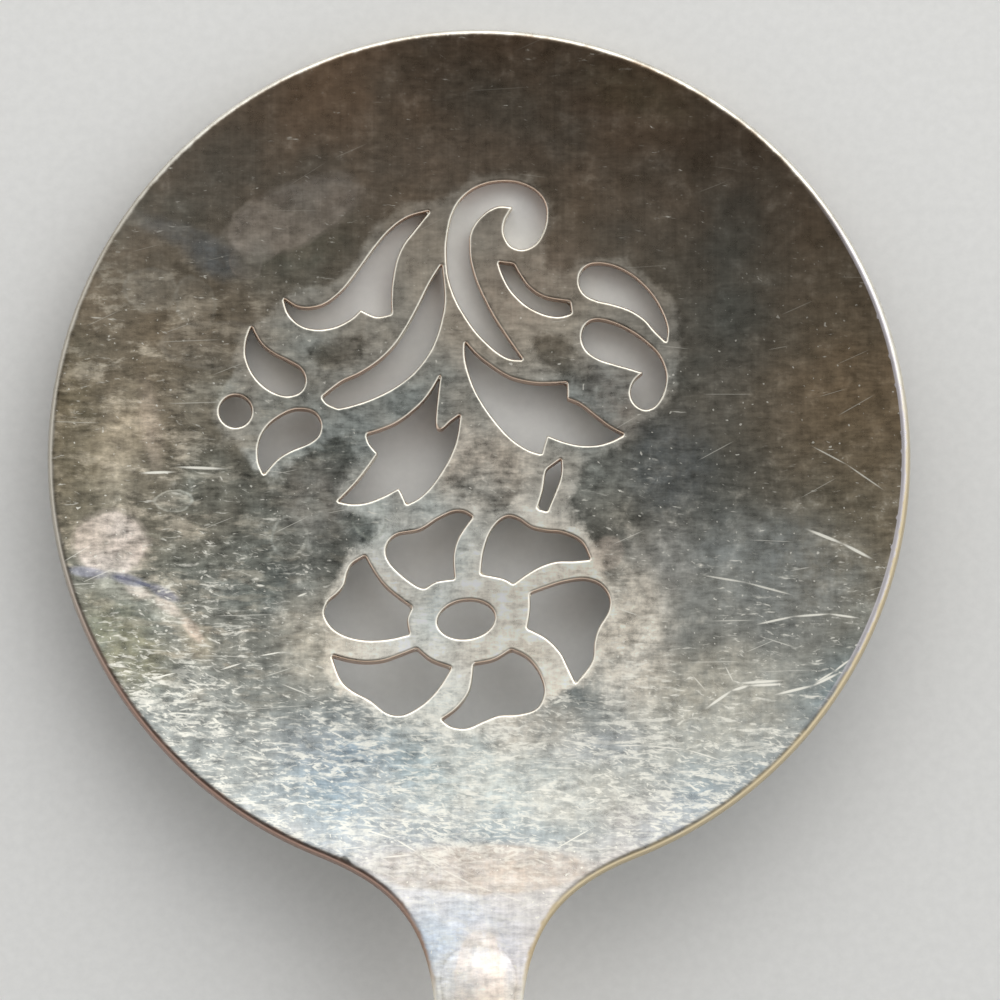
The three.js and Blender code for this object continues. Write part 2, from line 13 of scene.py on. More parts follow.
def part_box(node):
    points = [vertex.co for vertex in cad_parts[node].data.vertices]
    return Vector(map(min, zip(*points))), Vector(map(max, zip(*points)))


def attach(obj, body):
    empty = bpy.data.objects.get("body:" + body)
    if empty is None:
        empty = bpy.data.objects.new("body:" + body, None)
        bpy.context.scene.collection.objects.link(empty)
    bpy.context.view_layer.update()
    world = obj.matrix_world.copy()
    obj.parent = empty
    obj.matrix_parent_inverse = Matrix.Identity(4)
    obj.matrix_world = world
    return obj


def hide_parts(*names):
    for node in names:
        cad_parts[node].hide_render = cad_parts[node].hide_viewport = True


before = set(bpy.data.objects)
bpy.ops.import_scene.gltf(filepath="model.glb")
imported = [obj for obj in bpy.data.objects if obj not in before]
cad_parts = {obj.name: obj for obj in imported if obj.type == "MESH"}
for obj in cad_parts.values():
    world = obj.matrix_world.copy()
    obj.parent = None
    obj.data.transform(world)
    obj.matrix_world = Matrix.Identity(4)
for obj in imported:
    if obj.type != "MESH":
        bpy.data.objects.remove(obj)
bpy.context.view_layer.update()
MM = 0.001

# Blade
BLADE_RADIUS = 35 * MM
SHEET_THICKNESS = 1.5 * MM
EDGE_BEVEL = 0.25 * MM
FLAT_RADIUS = 12 * MM
DISH_DEPTH = 2.4 * MM
BLADE_TILT = math.radians(6.5)
RIM_ROUNDING = 0.42 * MM
PIERCING_ROUNDING = 0.2 * MM

# Neck, from the blade's rim to the collar
SHOULDER_WIDTH = 25 * MM
FLARE_LENGTH = 3.8 * MM
NECK_WIDTH = 6.2 * MM
NECK_LENGTH = 21 * MM
NECK_THICKNESS = 2.1 * MM
THICKENING_LENGTH = 12 * MM
CROWN_HEIGHT = 1.1 * MM
CROWN_MARGIN = 0.7 * MM
CROWN_SETBACK = 4.8 * MM
CROWN_FRONT_LENGTH = 3.5 * MM

# Tang
TANG_WIDTH = 4.6 * MM
TANG_THICKNESS = 2 * MM
TANG_END_WIDTH = 3 * MM
TANG_END_THICKNESS = 1.4 * MM
TANG_LENGTH = 45 * MM
NOTCH_DEPTH = 0.5 * MM
NOTCH_LENGTH = 3 * MM
NOTCH_STARTS = [18 * MM, 30 * MM]

# Handle shells
HANDLE_LENGTH = 105 * MM
MOUTH_WIDTH = 9.8 * MM
MOUTH_THICKNESS = 8.4 * MM
BUTT_WIDTH = 19 * MM
BUTT_THICKNESS = 10.4 * MM
BUTT_ROUND_LENGTH = 15 * MM
TAPER_START = 18 * MM
SHELL_WALL = 0.65 * MM
SEAM_GAP = 0.04 * MM
SEAM_GROOVE = 0.12 * MM
THREAD_HEIGHT = 0.35 * MM
THREAD_HALF_WIDTH = 0.5 * MM
THREAD_ANGLE = math.radians(24)

# Collar
FIT_GAP = 0.3 * MM
COLLAR_FRONT_THICKNESS = 2.3 * MM
COLLAR_SKIRT_LENGTH = 5 * MM
COLLAR_WALL = 0.6 * MM
COLLAR_CHAMFER = 0.46 * MM
COLLAR_BEAD_HEIGHT = 0.5 * MM
SOLDER_GAP = 0.02 * MM
SLOT_OVERLAP = 0.05 * MM

# Sizes that follow. A station is a distance from the blade's centre to the handle.
DISH_CURVE = DISH_DEPTH / (BLADE_RADIUS - FLAT_RADIUS) ** 2
TILT_SLOPE = math.tan(BLADE_TILT)
RIM_SLOPE = TILT_SLOPE + 2 * DISH_CURVE * (BLADE_RADIUS - FLAT_RADIUS)
RIM_HEIGHT = TILT_SLOPE * BLADE_RADIUS + DISH_DEPTH
SHOULDER_STATION = math.sqrt(BLADE_RADIUS**2 - (SHOULDER_WIDTH / 2) ** 2)
CROWN_STATION = BLADE_RADIUS + CROWN_SETBACK
CROWN_FULL_STATION = CROWN_STATION + CROWN_FRONT_LENGTH
JUNCTION_STATION = BLADE_RADIUS + CROWN_SETBACK / 2
NECK_END = BLADE_RADIUS + NECK_LENGTH
COLLAR_FRONT = NECK_END + FIT_GAP
NECK_REACH = COLLAR_FRONT + FIT_GAP
COLLAR_WALL_END = COLLAR_FRONT + COLLAR_FRONT_THICKNESS
COLLAR_SKIRT_END = COLLAR_WALL_END + COLLAR_SKIRT_LENGTH
MOUTH_STATION = COLLAR_WALL_END + FIT_GAP
BUTT_STATION = MOUTH_STATION + HANDLE_LENGTH - BUTT_ROUND_LENGTH
AXIS_DEPTH = SHEET_THICKNESS / 2
LEVEL_RADIUS = min(BLADE_RADIUS, FLAT_RADIUS + TILT_SLOPE / (2 * DISH_CURVE))
TABLE_HEIGHT = DISH_CURVE * (LEVEL_RADIUS - FLAT_RADIUS) ** 2 - TILT_SLOPE * LEVEL_RADIUS - SHEET_THICKNESS

# The piercings as the photograph shows them, in its pixels. Each outline is a list of stretches.
# A stretch starts at a corner and runs smoothly through its other points to the next one's corner.
PHOTO_CENTRE = (479, 453.5)
PHOTO_SCALE = 2 * BLADE_RADIUS / 854
PIERCINGS = {
    "wing_leaf": [
        [(283, 298), (296, 306), (309, 307.5), (323, 304), (336, 295), (350, 280), (376, 244), (391, 227),
         (408, 215)],
        [(429, 209), (413, 229), (403, 242), (396, 258), (392, 278), (390.5, 296)],
        [(391, 313), (376, 315.5)],
        [(360, 308.5), (350, 318), (334, 326), (316, 328.5), (300, 324.5), (288, 313)],
    ],
    "bud_leaf": [
        [(251, 326), (255, 334.5), (262, 345), (273, 353.5), (287, 360.5), (299, 367.5), (304.5, 377),
         (303.5, 387), (296, 394), (283, 395.5), (267, 388.5), (253.5, 375), (246, 357.5), (246, 341)],
    ],
    "drop_leaf": [
        [(264, 475), (259, 462), (258.5, 446), (263.5, 432), (273, 421), (289, 411.5), (302, 409.5),
         (314, 413), (320.5, 424), (318, 436), (308, 444), (291, 451), (277, 460)],
    ],
    "crescent": [
        [(441.3, 263), (430, 281), (419.5, 302.5), (408, 324), (395, 344), (378, 361), (359, 373.5),
         (341, 382)],
        [(322, 397), (327, 403.5)],
        [(338, 408.5), (353, 405), (374, 397.5), (396, 386), (415.5, 370), (431, 348), (440, 323),
         (444, 297)],
    ],
    "jagged_leaf": [
        [(440, 375.5), (433, 388), (424, 400.5), (412, 412), (397, 423), (381, 430)],
        [(366.5, 434.5), (369.5, 444)],
        [(378, 454), (369, 467), (359, 480), (349, 491)],
        [(338, 502), (352, 504.5), (367, 503), (384, 496.5)],
        [(398.8, 488.6), (402.5, 495)],
        [(406.7, 505), (419, 498.5), (431, 487), (441, 473), (450, 457), (456.5, 439)],
        [(460, 415), (451, 421.5), (441, 430), (435.5, 425), (437, 400.5)],
    ],
    "scroll": [
        [(522.7, 359.5), (509, 358), (495, 349.5), (478, 333), (464.5, 314), (455, 296), (448.5, 276),
         (446.5, 256), (447, 237), (451, 216), (459, 199.5), (473, 187), (491, 180.3), (512, 179.3),
         (529, 184.5), (541, 194), (546.3, 206.5), (545.5, 222.5), (539.5, 237), (531, 245),
         (520.5, 247.5), (510, 243), (504, 231), (505.5, 217.5)],
        [(513, 205), (500, 203.5), (487.5, 208.5), (475.5, 220), (469.5, 233), (469, 247), (470.5, 261),
         (476, 280), (485.5, 301), (495, 318.5), (509, 340)],
    ],
    "small_crescent": [
        [(498.3, 260.5)],
        [(513.5, 262.5), (520, 274), (530, 287), (546, 296.5)],
        [(570, 300.5)],
        [(571.5, 312.5), (559, 315.5), (544, 313), (527, 304.5), (512, 290), (503.5, 275)],
    ],
    "upper_teardrop": [
        [(666.5, 341.5), (667.5, 328), (662, 311), (651, 292.5), (635, 276.5), (618, 266.5), (603, 262.5),
         (590, 263.5), (581.5, 270.5), (579.5, 282), (584.5, 292.5), (596, 299), (613, 303), (630.5, 309),
         (645, 318.5), (655.5, 330.5)],
    ],
    "comma": [
        [(643.5, 372.5), (635, 380), (631, 390), (632.5, 400), (638.5, 407), (647, 409.5), (656.5, 404.5),
         (664, 391), (666, 374), (659, 355), (643.5, 339.5), (627, 328.5), (609.5, 321), (595, 319),
         (585.5, 324.5), (582, 336), (586, 348.5), (597, 357.5), (614, 363.5), (630, 368)],
    ],
    "big_leaf": [
        [(465, 341.5), (475, 353), (487, 363), (505, 375), (520, 380.5), (540, 383.5)],
        [(567, 382.5)],
        [(567, 399), (580, 404.5), (596, 417), (610, 427.5)],
        [(624, 434.8), (611, 441.5), (596, 445.5), (580, 445.5), (564, 442)],
        [(547, 435.5)],
        [(541.5, 454.5), (527, 449.5), (511, 438.5), (498, 424.5), (485, 407), (475, 389.5), (468, 370),
         (465, 355)],
    ],
    "tick": [
        [(561, 459.5), (561, 474), (557, 488)],
        [(547, 512)],
        [(537.5, 509), (543, 490), (546, 472), (552, 466)],
    ],
    "petal_top_left": [
        [(472.5, 517.5), (464, 512.5), (453, 512.5), (437, 520), (420, 530.5), (398, 535), (388.5, 543),
         (386.5, 554), (391.5, 565), (405, 578), (418, 587)],
        [(425, 589), (437, 582)],
        [(454.5, 579.5), (453.5, 556), (459, 537)],
    ],
    "petal_left": [
        [(365.3, 556.5), (353, 564), (348, 573), (345, 585), (338, 594), (329, 602), (325.5, 614),
         (332, 626.5), (343, 634.5), (357, 639), (372, 640.5), (391, 639)],
        [(410, 634.5), (407.5, 620)],
        [(412.3, 608), (397, 597), (384, 585.5), (374, 572)],
    ],
    "petal_top_right": [
        [(481, 574.5), (483.5, 553), (489.5, 534.5), (498, 522.5), (508, 517), (519, 520), (531, 528),
         (546, 531.5), (563, 533.5), (581, 542.5)],
        [(590, 560), (573, 561.5), (556, 562), (540, 567), (526, 575)],
        [(513, 584.5), (503, 579)],
    ],
    "petal_right": [
        [(530, 594), (549, 587), (566, 582), (585, 580), (600, 585.5), (608.5, 598), (607.5, 612),
         (598, 628), (593.5, 643), (591, 662)],
        [(575, 683), (567, 666), (560, 652.5), (546, 638.5)],
        [(527, 628.5), (530, 611)],
    ],
    "petal_bottom_right": [
        [(511, 650), (526, 657.5), (537.5, 671), (543.5, 688), (541, 701.5), (533, 710), (517, 714),
         (499, 715), (484, 720.5), (467, 727.5), (452, 726)],
        [(442, 719), (457, 708), (470, 690)],
        [(474, 664), (494, 660)],
    ],
    "petal_bottom_left": [
        [(333, 656), (350, 660.5), (367, 662.5), (384, 661), (399, 656)],
        [(417, 649), (431, 660.5)],
        [(451.5, 668), (440, 686.5), (428, 700), (414, 710), (401, 715), (387, 712), (372, 700.5),
         (353, 690), (342, 679)],
    ],
}

DOT_CENTRE = (235.5, 411.5)
DOT_DIAMETER = 2.65 * MM
EYE_CENTRE = (466.3, 620)
EYE_LENGTH = 4.7 * MM
EYE_WIDTH = 3.15 * MM
EYE_TURN = math.radians(8)

# Fineness of the meshes
SLOPE_PROBE = 0.01 * MM
PIERCING_STEP = 0.22 * MM
CORNER_CUT = 0.13 * MM
RIM_STEP = 0.5 * MM
TANG_STEP = 1 * MM
GRID_STEP = 0.9 * MM
CROWN_GRID_STEP = 0.32 * MM
EDGE_RING_SHARES = [0.1, 0.35, 0.65, 1, 1.4]
LEAST_SHARE_KEPT = 0.93
BAND_SPREAD = 1.6 * MM
BAND_FROM = 0.9
BAND_AT = 1.35
CREASE_SHARE = 0.14
THREAD_FOOT_SHARE = 0.35
BEAD_FOOT_SHARE = 0.3
OVAL_STEPS = 48
BODY_STEPS = 64
BUTT_STEPS = 26
SEAM_COLUMNS = 5
THREAD_COLUMNS = 9
FACE_COLUMNS = 12
COLLAR_SIDES = 112
ARC_STEPS = 6
SHARP_ANGLE = math.radians(48)
MERGE_MILLIMETRES = 1e-6
LEAST_SQUARE = 1e-18


# The server's top face

def smoothstep(value, low, high):
    share = np.clip((value - low) / (high - low), 0, 1)
    return share * share * (3 - 2 * share)


def lerp(start, end, share):
    return start + (end - start) * share


def handle_slope_to_table():
    """The handle's slope that brings its round end down to the table under the blade."""
    slope = 0
    for _ in range(6):
        cosine = 1 / math.hypot(1, slope)
        reach = cosine * math.hypot(BUTT_THICKNESS / 2, BUTT_ROUND_LENGTH * slope)
        axis_height = TABLE_HEIGHT + reach + AXIS_DEPTH * cosine
        climb = axis_height - RIM_HEIGHT - NECK_LENGTH * RIM_SLOPE / 2
        slope = climb / (NECK_LENGTH / 2 + BUTT_STATION - NECK_END)
    return slope


HANDLE_SLOPE = handle_slope_to_table()


def dish_height(radius):
    return DISH_CURVE * np.maximum(0, radius - FLAT_RADIUS) ** 2


def spine_height(station):
    """Height of the top face along the middle line: tilted blade, bent neck, straight handle."""
    run = np.clip(station - BLADE_RADIUS, 0, NECK_LENGTH)
    bent = RIM_HEIGHT + RIM_SLOPE * run + (HANDLE_SLOPE - RIM_SLOPE) * run**2 / (2 * NECK_LENGTH)
    straight = HANDLE_SLOPE * np.maximum(0, station - NECK_END)
    return np.where(station <= BLADE_RADIUS, TILT_SLOPE * station + dish_height(station), bent + straight)


def top_height(x, y):
    """Height of the top face over any point of the plan. The dish fades out along the neck."""
    station = -y
    radius = np.hypot(x, station)
    on_blade = TILT_SLOPE * station + dish_height(radius)
    left = 1 - smoothstep(station, SHOULDER_STATION, NECK_END)
    dished = spine_height(radius) - TILT_SLOPE * (radius - station)
    beyond = lerp(spine_height(station), dished, left)
    return np.where(station <= SHOULDER_STATION, on_blade, beyond)


def square_to_top(x, y, offset):
    """The points at an offset over the top face, square to it, measured from the blade's centre."""
    x, y = np.asarray(x, float), np.asarray(y, float)
    slope_x = (top_height(x + SLOPE_PROBE, y) - top_height(x - SLOPE_PROBE, y)) / (2 * SLOPE_PROBE)
    slope_y = (top_height(x, y + SLOPE_PROBE) - top_height(x, y - SLOPE_PROBE)) / (2 * SLOPE_PROBE)
    rise = offset / np.sqrt(1 + slope_x**2 + slope_y**2)
    return np.stack([x - slope_x * rise, y - slope_y * rise, top_height(x, y) + rise], axis=-1)


def blade_centre():
    """The blade's centre in the frame. Its tip ends the CAD blade's box, and its underside lies at z = 0."""
    tip = square_to_top(0, BLADE_RADIUS, EDGE_BEVEL - SHEET_THICKNESS)
    return Vector((0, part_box("pierced_blade")[1].y - tip[1], -TABLE_HEIGHT))


BLADE_CENTRE = blade_centre()


def on_server(x, y, offset):
    return square_to_top(x, y, offset) + np.array(BLADE_CENTRE)


# Pieces

def add_object(name, data):
    made = bpy.data.objects.new(name, data)
    bpy.context.scene.collection.objects.link(made)
    return made


def strip(row_a, row_b):
    """Four-sided faces for each cell between two rows of vertex numbers."""
    return [[row_a[i], row_b[i], row_b[i + 1], row_a[i + 1]] for i in range(len(row_a) - 1)]


def make_piece(name, points, faces, fields, node):
    """A smooth mesh that rides on the body and stands for a CAD node. Fields are values for each vertex."""
    mesh = bpy.data.meshes.new(name)
    mesh.from_pydata([tuple(point) for point in points], [], faces)
    mesh.validate()
    for key, values in fields.items():
        mesh.attributes.new(key, "FLOAT", "POINT").data.foreach_set("value", np.asarray(values, np.float32))
    mesh.shade_smooth()
    mesh.set_sharp_from_angle(angle=SHARP_ANGLE)
    piece = add_object(name, mesh)
    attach(piece, "root")
    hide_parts(node)
    return piece


# Outlines of the blade, seen from above

def half_width_at(station):
    neck = NECK_WIDTH / 2
    return neck + (SHOULDER_WIDTH / 2 - neck) * np.exp((SHOULDER_STATION - station) / FLARE_LENGTH)


def tang_profile():
    """Stations and half widths along one side of the tang, from the neck to its end, with two notches."""
    profile = [(0, 0)]
    for start in NOTCH_STARTS:
        end = start + NOTCH_LENGTH
        profile += [(start - NOTCH_DEPTH, 0), (start, NOTCH_DEPTH)]
        profile += [(end, NOTCH_DEPTH), (end + NOTCH_DEPTH, 0)]
    profile.append((TANG_LENGTH, 0))
    corners = []
    for along, cut in profile:
        half = lerp(TANG_WIDTH, TANG_END_WIDTH, along / TANG_LENGTH) / 2 - cut
        corners.append((half, max(NECK_REACH, NECK_END + along)))
    return corners


def evenly(start, end, step):
    """Points from start up to end, which is left out."""
    count = max(1, round(math.dist(start, end) / step))
    return [tuple(lerp(np.array(start), np.array(end), i / count)) for i in range(count)]


def rim_outline():
    """The outline of blade, neck and tang, turning left, in the plan."""
    shoulder_angle = math.atan2(-SHOULDER_STATION, SHOULDER_WIDTH / 2)
    sweep = math.pi - 2 * shoulder_angle
    count = round(sweep * BLADE_RADIUS / RIM_STEP)
    angles = [shoulder_angle + sweep * i / count for i in range(count)]
    disc = [(BLADE_RADIUS * math.cos(angle), BLADE_RADIUS * math.sin(angle)) for angle in angles]
    flare_steps = round((NECK_REACH - SHOULDER_STATION) / RIM_STEP)
    stations = [lerp(SHOULDER_STATION, NECK_REACH, i / flare_steps) for i in range(flare_steps + 1)]
    left = [(-float(half_width_at(station)), -station) for station in stations]
    tang = tang_profile()
    side = []
    for (half, station), (next_half, next_station) in zip(tang, tang[1:]):
        side += evenly((-half, -station), (-next_half, -next_station), TANG_STEP)
    end = [(-tang[-1][0], -tang[-1][1])]
    left += side + end
    right = [(-x, y) for x, y in reversed(left)]
    return np.array(disc + left + right[:-1])


def from_photo(point):
    return Vector((point[0] - PHOTO_CENTRE[0], PHOTO_CENTRE[1] - point[1])) * PHOTO_SCALE


def curve_through(points):
    """A smooth curve through points (uniform Catmull-Rom), without its last point."""
    padded = [points[0], *points, points[-1]]
    curve = []
    for before, start, end, after in zip(padded, padded[1:], padded[2:], padded[3:]):
        pull_in, pull_out = (end - before) / 2, (after - start) / 2
        steps = max(1, math.ceil((end - start).length / PIERCING_STEP))
        for i in range(steps):
            t = i / steps
            bend = (3 * (end - start) - 2 * pull_in - pull_out) * t**2
            curve.append(start + pull_in * t + bend + (2 * (start - end) + pull_in + pull_out) * t**3)
    return curve


def cut_corner(corner, before, after):
    """A short curve in place of a corner."""
    start = corner + (before - corner).normalized() * CORNER_CUT
    end = corner + (after - corner).normalized() * CORNER_CUT
    return [start, (start + 2 * corner + end) / 4, end]


def piercing_outline(stretches):
    curves = []
    for i, stretch in enumerate(stretches):
        following = stretches[(i + 1) % len(stretches)][0]
        curves.append(curve_through([from_photo(point) for point in [*stretch, following]]))
    loop = []
    for i, curve in enumerate(curves):
        after = curve[1] if len(curve) > 1 else curves[(i + 1) % len(curves)][0]
        loop += cut_corner(curve[0], curves[i - 1][-1], after) + curve[1:]
    return turned_left(np.array([tuple(point) for point in loop]))


def oval_outline(centre, length, width, turn):
    middle = from_photo(centre)
    angles = np.linspace(0, 2 * math.pi, OVAL_STEPS, endpoint=False)
    along, across = np.cos(angles) * length / 2, np.sin(angles) * width / 2
    x = middle.x + along * math.cos(turn) - across * math.sin(turn)
    y = middle.y + along * math.sin(turn) + across * math.cos(turn)
    return np.stack([x, y], axis=1)


def turned_left(loop):
    following = np.roll(loop, -1, axis=0)
    area = np.sum(loop[:, 0] * following[:, 1] - following[:, 0] * loop[:, 1])
    return loop if area > 0 else loop[::-1]


def inside(points, loop):
    """Which points lie inside a closed loop."""
    x, y = points[:, 0:1], points[:, 1:2]
    x0, y0 = loop.T
    x1, y1 = np.roll(loop, -1, axis=0).T
    rise = np.where(y1 == y0, 1, y1 - y0)
    crossed = ((y0 > y) != (y1 > y)) & (x < (x1 - x0) * (y - y0) / rise + x0)
    return np.sum(crossed, axis=1) % 2 == 1


def in_metal(points, loops):
    """Which points lie inside the first loop and outside all the others."""
    rim, *piercings = loops
    found = inside(points, rim)
    for piercing in piercings:
        found &= ~inside(points, piercing)
    return found


class Edges:
    """Finds how far points lie from the nearest of several closed loops."""

    def __init__(self, loops):
        self.points = np.concatenate(loops)
        self.before = np.concatenate([np.roll(loop, 1, axis=0) for loop in loops])
        self.after = np.concatenate([np.roll(loop, -1, axis=0) for loop in loops])
        self.tree = kdtree.KDTree(len(self.points))
        for i, (x, y) in enumerate(self.points):
            self.tree.insert((x, y, 0), i)
        self.tree.balance()

    def distances(self, places):
        nearest = np.array([self.tree.find((x, y, 0))[1] for x, y in places])
        middle = self.points[nearest]
        to_sides = [self.to_segment(places, middle, ends[nearest]) for ends in (self.before, self.after)]
        return np.minimum(*to_sides)

    @staticmethod
    def to_segment(places, start, end):
        along = end - start
        square = np.maximum(np.sum(along**2, axis=1), LEAST_SQUARE)
        share = np.clip(np.sum((places - start) * along, axis=1) / square, 0, 1)
        return np.linalg.norm(places - start - along * share[:, None], axis=1)


# The blade

def crown_share(x, station):
    """Height of the neck's raised crown as a share of its full height. It is negative outside the crown."""
    across = x / (half_width_at(station) - CROWN_MARGIN)
    along = np.maximum(0, CROWN_FULL_STATION - station) / CROWN_FRONT_LENGTH
    return 1 - across**2 - along**2


def crown_border():
    """Points along the foot of the crown, which end the dome cleanly."""
    stations = np.arange(CROWN_STATION, NECK_REACH, CROWN_GRID_STEP / 2)
    along = np.clip((CROWN_FULL_STATION - stations) / CROWN_FRONT_LENGTH, 0, 1)
    reach = (half_width_at(stations) - CROWN_MARGIN) * np.sqrt(1 - along**2)
    return np.concatenate([np.stack([side * reach, -stations], axis=1) for side in (-1, 1)])


def grid(low, high, step):
    """Staggered points that fill a rectangle."""
    rows = np.arange(low[1], high[1], step * math.sqrt(3) / 2)
    points = []
    for i, y in enumerate(rows):
        xs = np.arange(low[0] + (i % 2) * step / 2, high[0], step)
        points.append(np.stack([xs, np.full_like(xs, y)], axis=1))
    return np.concatenate(points)


def rings_along(loop, rounding, into_left):
    """Points in the metal along a loop, at the distances where its edge is rounded off."""
    tangent = np.roll(loop, -1, axis=0) - np.roll(loop, 1, axis=0)
    tangent /= np.linalg.norm(tangent, axis=1)[:, None]
    inward = np.stack([-tangent[:, 1], tangent[:, 0]], axis=1) * (1 if into_left else -1)
    return [(loop + inward * share * rounding, share * rounding) for share in EDGE_RING_SHARES]


def heights(plan, rim_gap, piercing_gap):
    """How far the top and bottom lie over and under the top face, with the edges rounded off."""
    x, station = plan[:, 0], -plan[:, 1]
    growth = smoothstep(station, JUNCTION_STATION, JUNCTION_STATION + THICKENING_LENGTH)
    thickness = lerp(SHEET_THICKNESS, NECK_THICKNESS, growth)
    share = np.clip((station - NECK_END) / TANG_LENGTH, 0, 1)
    reach = lerp(TANG_THICKNESS, TANG_END_THICKNESS, share) / 2
    tang = station > NECK_REACH - SLOPE_PROBE
    crown = CROWN_HEIGHT * np.maximum(0, crown_share(x, station))
    top = np.where(tang, reach - AXIS_DEPTH, crown)
    bottom = np.where(tang, -reach - AXIS_DEPTH, -thickness)
    drop = np.zeros(len(plan))
    for gap, rounding in ((rim_gap, RIM_ROUNDING), (piercing_gap, PIERCING_ROUNDING)):
        left = rounding - np.minimum(gap, rounding)
        drop = np.maximum(drop, rounding - np.sqrt(np.maximum(0, rounding**2 - left**2)))
    return top - drop, bottom + drop


def plan_triangles(plan, loops):
    """Triangles of the metal in the plan. The first loop is the rim, and the others are piercings."""
    edges, outlines = [], []
    for loop in loops:
        first = len(edges)
        numbers = [*range(first, first + len(loop)), first]
        edges += zip(numbers, numbers[1:])
        outlines.append(numbers)
    in_millimetres = [Vector(point) for point in plan / MM]
    made = delaunay_2d_cdt(in_millimetres, edges, [], 0, MERGE_MILLIMETRES)
    corners = np.array([point.to_tuple() for point in made[0]]) * MM
    triangles = np.array(made[2])
    number_of = {old: new for new, olds in enumerate(made[3]) for old in olds}
    outlines = [[number_of[number] for number in numbers] for numbers in outlines]
    middles = corners[triangles].mean(axis=1)
    doubtful = np.flatnonzero(np.isin(triangles, np.concatenate(outlines)).all(axis=1))
    kept = np.ones(len(triangles), bool)
    kept[doubtful] = in_metal(middles[doubtful], loops)
    return corners, triangles[kept], outlines


def outline_crowding(plan, loops):
    """How closely outlines surround each point: 1 beside one straight edge, and more between two."""
    starts = np.concatenate(loops)
    ends = np.concatenate([np.roll(loop, -1, axis=0) for loop in loops])
    middles = (starts + ends) / 2
    weights = np.linalg.norm(ends - starts, axis=1) / (math.sqrt(2 * math.pi) * BAND_SPREAD)
    crowding = np.zeros(len(plan))
    for middle, weight in zip(middles, weights):
        gap = np.sum((plan - middle) ** 2, axis=1)
        crowding += weight * np.exp(-gap / (2 * BAND_SPREAD**2))
    return crowding


def points_between(loops, rim_edges, piercing_edges):
    """Points of the metal in the plan: rings along every edge, then grids where no edge is near."""
    def gap_at(points):
        return np.minimum(rim_edges.distances(points), piercing_edges.distances(points))

    rim, *piercings = loops
    rings = rings_along(rim, RIM_ROUNDING, True)
    for piercing in piercings:
        rings += rings_along(piercing, PIERCING_ROUNDING, False)
    free = [points[gap_at(points) > gap * LEAST_SHARE_KEPT] for points, gap in rings]
    disc = grid((-BLADE_RADIUS, -SHOULDER_STATION), (BLADE_RADIUS, BLADE_RADIUS), GRID_STEP)
    shoulder_end = -SHOULDER_STATION - GRID_STEP / 2
    neck = grid((-SHOULDER_WIDTH / 2, -CROWN_STATION), (SHOULDER_WIDTH / 2, shoulder_end), GRID_STEP)
    crown = grid((-NECK_WIDTH, -NECK_REACH), (NECK_WIDTH, -CROWN_STATION), CROWN_GRID_STEP)
    tang = grid((-TANG_WIDTH, -NECK_END - TANG_LENGTH), (TANG_WIDTH, -NECK_REACH), TANG_STEP)
    for points, room in ((disc, GRID_STEP), (neck, GRID_STEP), (crown, CROWN_GRID_STEP),
                         (crown_border(), RIM_ROUNDING), (tang, TANG_STEP)):
        clear = gap_at(points) > room / 2 + RIM_ROUNDING / 2
        free.append(points[in_metal(points, loops) & clear])
    return free


def pierced_blade():
    piercings = [piercing_outline(stretches) for stretches in PIERCINGS.values()]
    piercings.append(oval_outline(DOT_CENTRE, DOT_DIAMETER, DOT_DIAMETER, 0))
    piercings.append(oval_outline(EYE_CENTRE, EYE_LENGTH, EYE_WIDTH, EYE_TURN))
    loops = [rim_outline(), *piercings]
    rim_edges, piercing_edges = Edges(loops[:1]), Edges(piercings)
    free = points_between(loops, rim_edges, piercing_edges)
    plan, triangles, outlines = plan_triangles(np.concatenate(loops + free), loops)
    rim_gap, piercing_gap = rim_edges.distances(plan), piercing_edges.distances(plan)
    top, bottom = heights(plan, rim_gap, piercing_gap)
    points = np.concatenate([on_server(*plan.T, top), on_server(*plan.T, bottom)])
    below = len(plan)
    faces = [[int(i) for i in triangle] for triangle in triangles]
    faces += [[below + a, below + c, below + b] for a, b, c in faces]
    for outline in outlines:
        faces += strip(outline, [number + below for number in outline])
    crease = np.clip(1 - np.abs(crown_share(plan[:, 0], -plan[:, 1])) / CREASE_SHARE, 0, 1)
    worn_share = EDGE_RING_SHARES[-1]
    crowding = outline_crowding(plan, piercings)
    fields = {
        "rim_wear": np.tile(np.clip(1 - rim_gap / (worn_share * RIM_ROUNDING), 0, 1), 2),
        "edge_wear": np.tile(np.clip(1 - piercing_gap / (worn_share * PIERCING_ROUNDING), 0, 1), 2),
        "openwork": np.tile(np.clip((crowding - BAND_FROM) / (BAND_AT - BAND_FROM), 0, 1), 2),
        "recess": np.concatenate([crease, np.zeros(below)]),
        "topside": np.concatenate([np.ones(below), np.zeros(below)]),
    }
    return make_piece("blade_plate", points, faces, fields, "pierced_blade")


# The handle

def body_section(station, inset):
    """Station, half width and half thickness of the handle's body."""
    swell = float(smoothstep(station, MOUTH_STATION + TAPER_START, BUTT_STATION))
    half = lerp(MOUTH_WIDTH, BUTT_WIDTH, swell) / 2 - inset
    reach = lerp(MOUTH_THICKNESS, BUTT_THICKNESS, swell) / 2 - inset
    return station, half, reach


def butt_section(angle, inset):
    """The same on the rounded butt. The angle runs from 0 at the body to a right angle at the tip."""
    station = BUTT_STATION + (BUTT_ROUND_LENGTH - inset) * math.sin(angle)
    half = (BUTT_WIDTH / 2 - inset) * math.cos(angle)
    reach = (BUTT_THICKNESS / 2 - inset) * math.cos(angle)
    return station, half, reach


def shell_sections(inset):
    steps = range(BODY_STEPS)
    body = [body_section(lerp(MOUTH_STATION, BUTT_STATION, i / BODY_STEPS), inset) for i in steps]
    return body + [butt_section(math.pi / 2 * i / BUTT_STEPS, inset) for i in range(BUTT_STEPS)]


